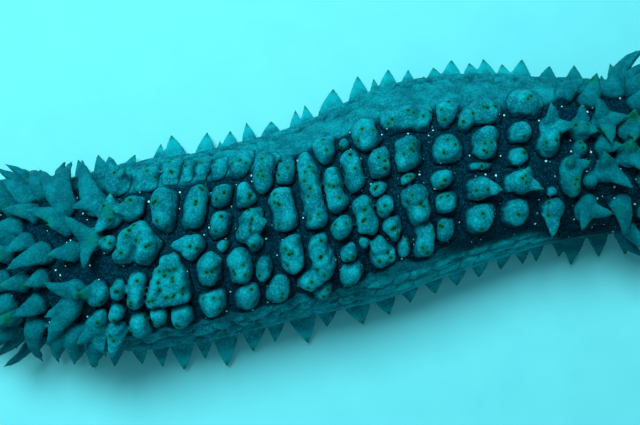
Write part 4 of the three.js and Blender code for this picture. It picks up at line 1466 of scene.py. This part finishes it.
# Tube feet: thin, soft and matt skin, fine in grain and greyer than the sole round them
feetHide = {
    **hide,
    "colour": "#3f9aa0",
    "lighter": "#6cb9b8",
    "darker": "#2a757f",
    "mottle": 6,
    "granule": 0.9,
    "bump": 0.25,
}
feetSkin = hideMaterial("soft_sole_skin", feetHide)


def dress(piece, material):
    piece.data.materials.clear()
    piece.data.materials.append(material)


for piece in (skin, *backPieces, *endPieces, *fringePieces):
    dress(piece, wetHide)
dress(papillaDots, dotMaterial)
dress(mouthPiece, tentacleSkin)
dress(tubeFeet, feetSkin)
for piece in (skin, *backPieces, *endPieces, *fringePieces, papillaDots, mouthPiece, tubeFeet):
    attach(piece, "root")
print("materials made")

# Floor, lights and camera
studio = {
    "floorSize": 4.0,
    "floorColour": "#62e0ea",
    "floorShade": "#5ad6e2",
    "floorGrain": 40.0,
    "floorRoughness": 0.9,
    "keySize": 0.6,
    "keyPower": 18,
    "keyPlace": (-0.3, 0.5, 1.08),
    "fillSize": 1.6,
    "fillPower": 2,
    "fillPlace": (-0.6, -1.1, 0.9),
    "ambient": 0.27,
    "ambientColour": (0.6, 0.92, 1, 1),
}
bm = bmesh.new()
bmesh.ops.create_grid(bm, x_segments=1, y_segments=1, size=studio["floorSize"] / 2)
floor = newPiece("floor", bm)
floorMaterial, tree, output = startMaterial("pale_matt_paint")
place = addNode(tree, "ShaderNodeTexCoord").outputs["Object"]
inputs = {"Vector": place, "Scale": studio["floorGrain"], "Detail": 2.0}
grain = addNode(tree, "ShaderNodeTexNoise", None, inputs)
inputs = {0: grain.outputs["Fac"], 6: linear(studio["floorShade"]), 7: linear(studio["floorColour"])}
paint = addNode(tree, "ShaderNodeMix", {"data_type": "RGBA"}, inputs).outputs[2]
inputs = {"Base Color": paint, "Roughness": studio["floorRoughness"]}
floorShader = addNode(tree, "ShaderNodeBsdfPrincipled", None, inputs)
tree.links.new(floorShader.outputs[0], output.inputs["Surface"])
floor.data.materials.append(floorMaterial)


def addSoftLight(name, size, power, spot):
    lamp = bpy.data.lights.new(name, "AREA")
    lamp.shape = "DISK"
    lamp.size = size
    lamp.energy = power
    holder = bpy.data.objects.new(name, lamp)
    holder.location = spot
    holder.rotation_euler = (-Vector(spot)).to_track_quat("-Z", "Y").to_euler()
    bpy.context.scene.collection.objects.link(holder)


addSoftLight("key_light", studio["keySize"], studio["keyPower"], studio["keyPlace"])
addSoftLight("fill_light", studio["fillSize"], studio["fillPower"], studio["fillPlace"])
world = bpy.data.worlds.new("soft_room")
bpy.context.scene.world = world
world.use_nodes = True
background = world.node_tree.nodes["Background"]
background.inputs["Color"].default_value = studio["ambientColour"]
background.inputs["Strength"].default_value = studio["ambient"]

view = {"elevation": 85, "distance": 0.471, "fieldOfView": 45, "sensorWidth": 36, "clipStart": 0.01}
cameraData = bpy.data.cameras.new("camera")
cameraData.sensor_width = view["sensorWidth"]
cameraData.lens = view["sensorWidth"] / 2 / math.tan(math.radians(view["fieldOfView"] / 2))
cameraData.clip_start = view["clipStart"]
camera = bpy.data.objects.new("camera", cameraData)
tilt = math.radians(view["elevation"])
camera.location = Vector((0, -math.cos(tilt), math.sin(tilt))) * view["distance"]
camera.rotation_euler = (math.pi / 2 - tilt, 0, 0)
bpy.context.scene.collection.objects.link(camera)
bpy.context.scene.camera = camera
print("floor, lights and camera made")
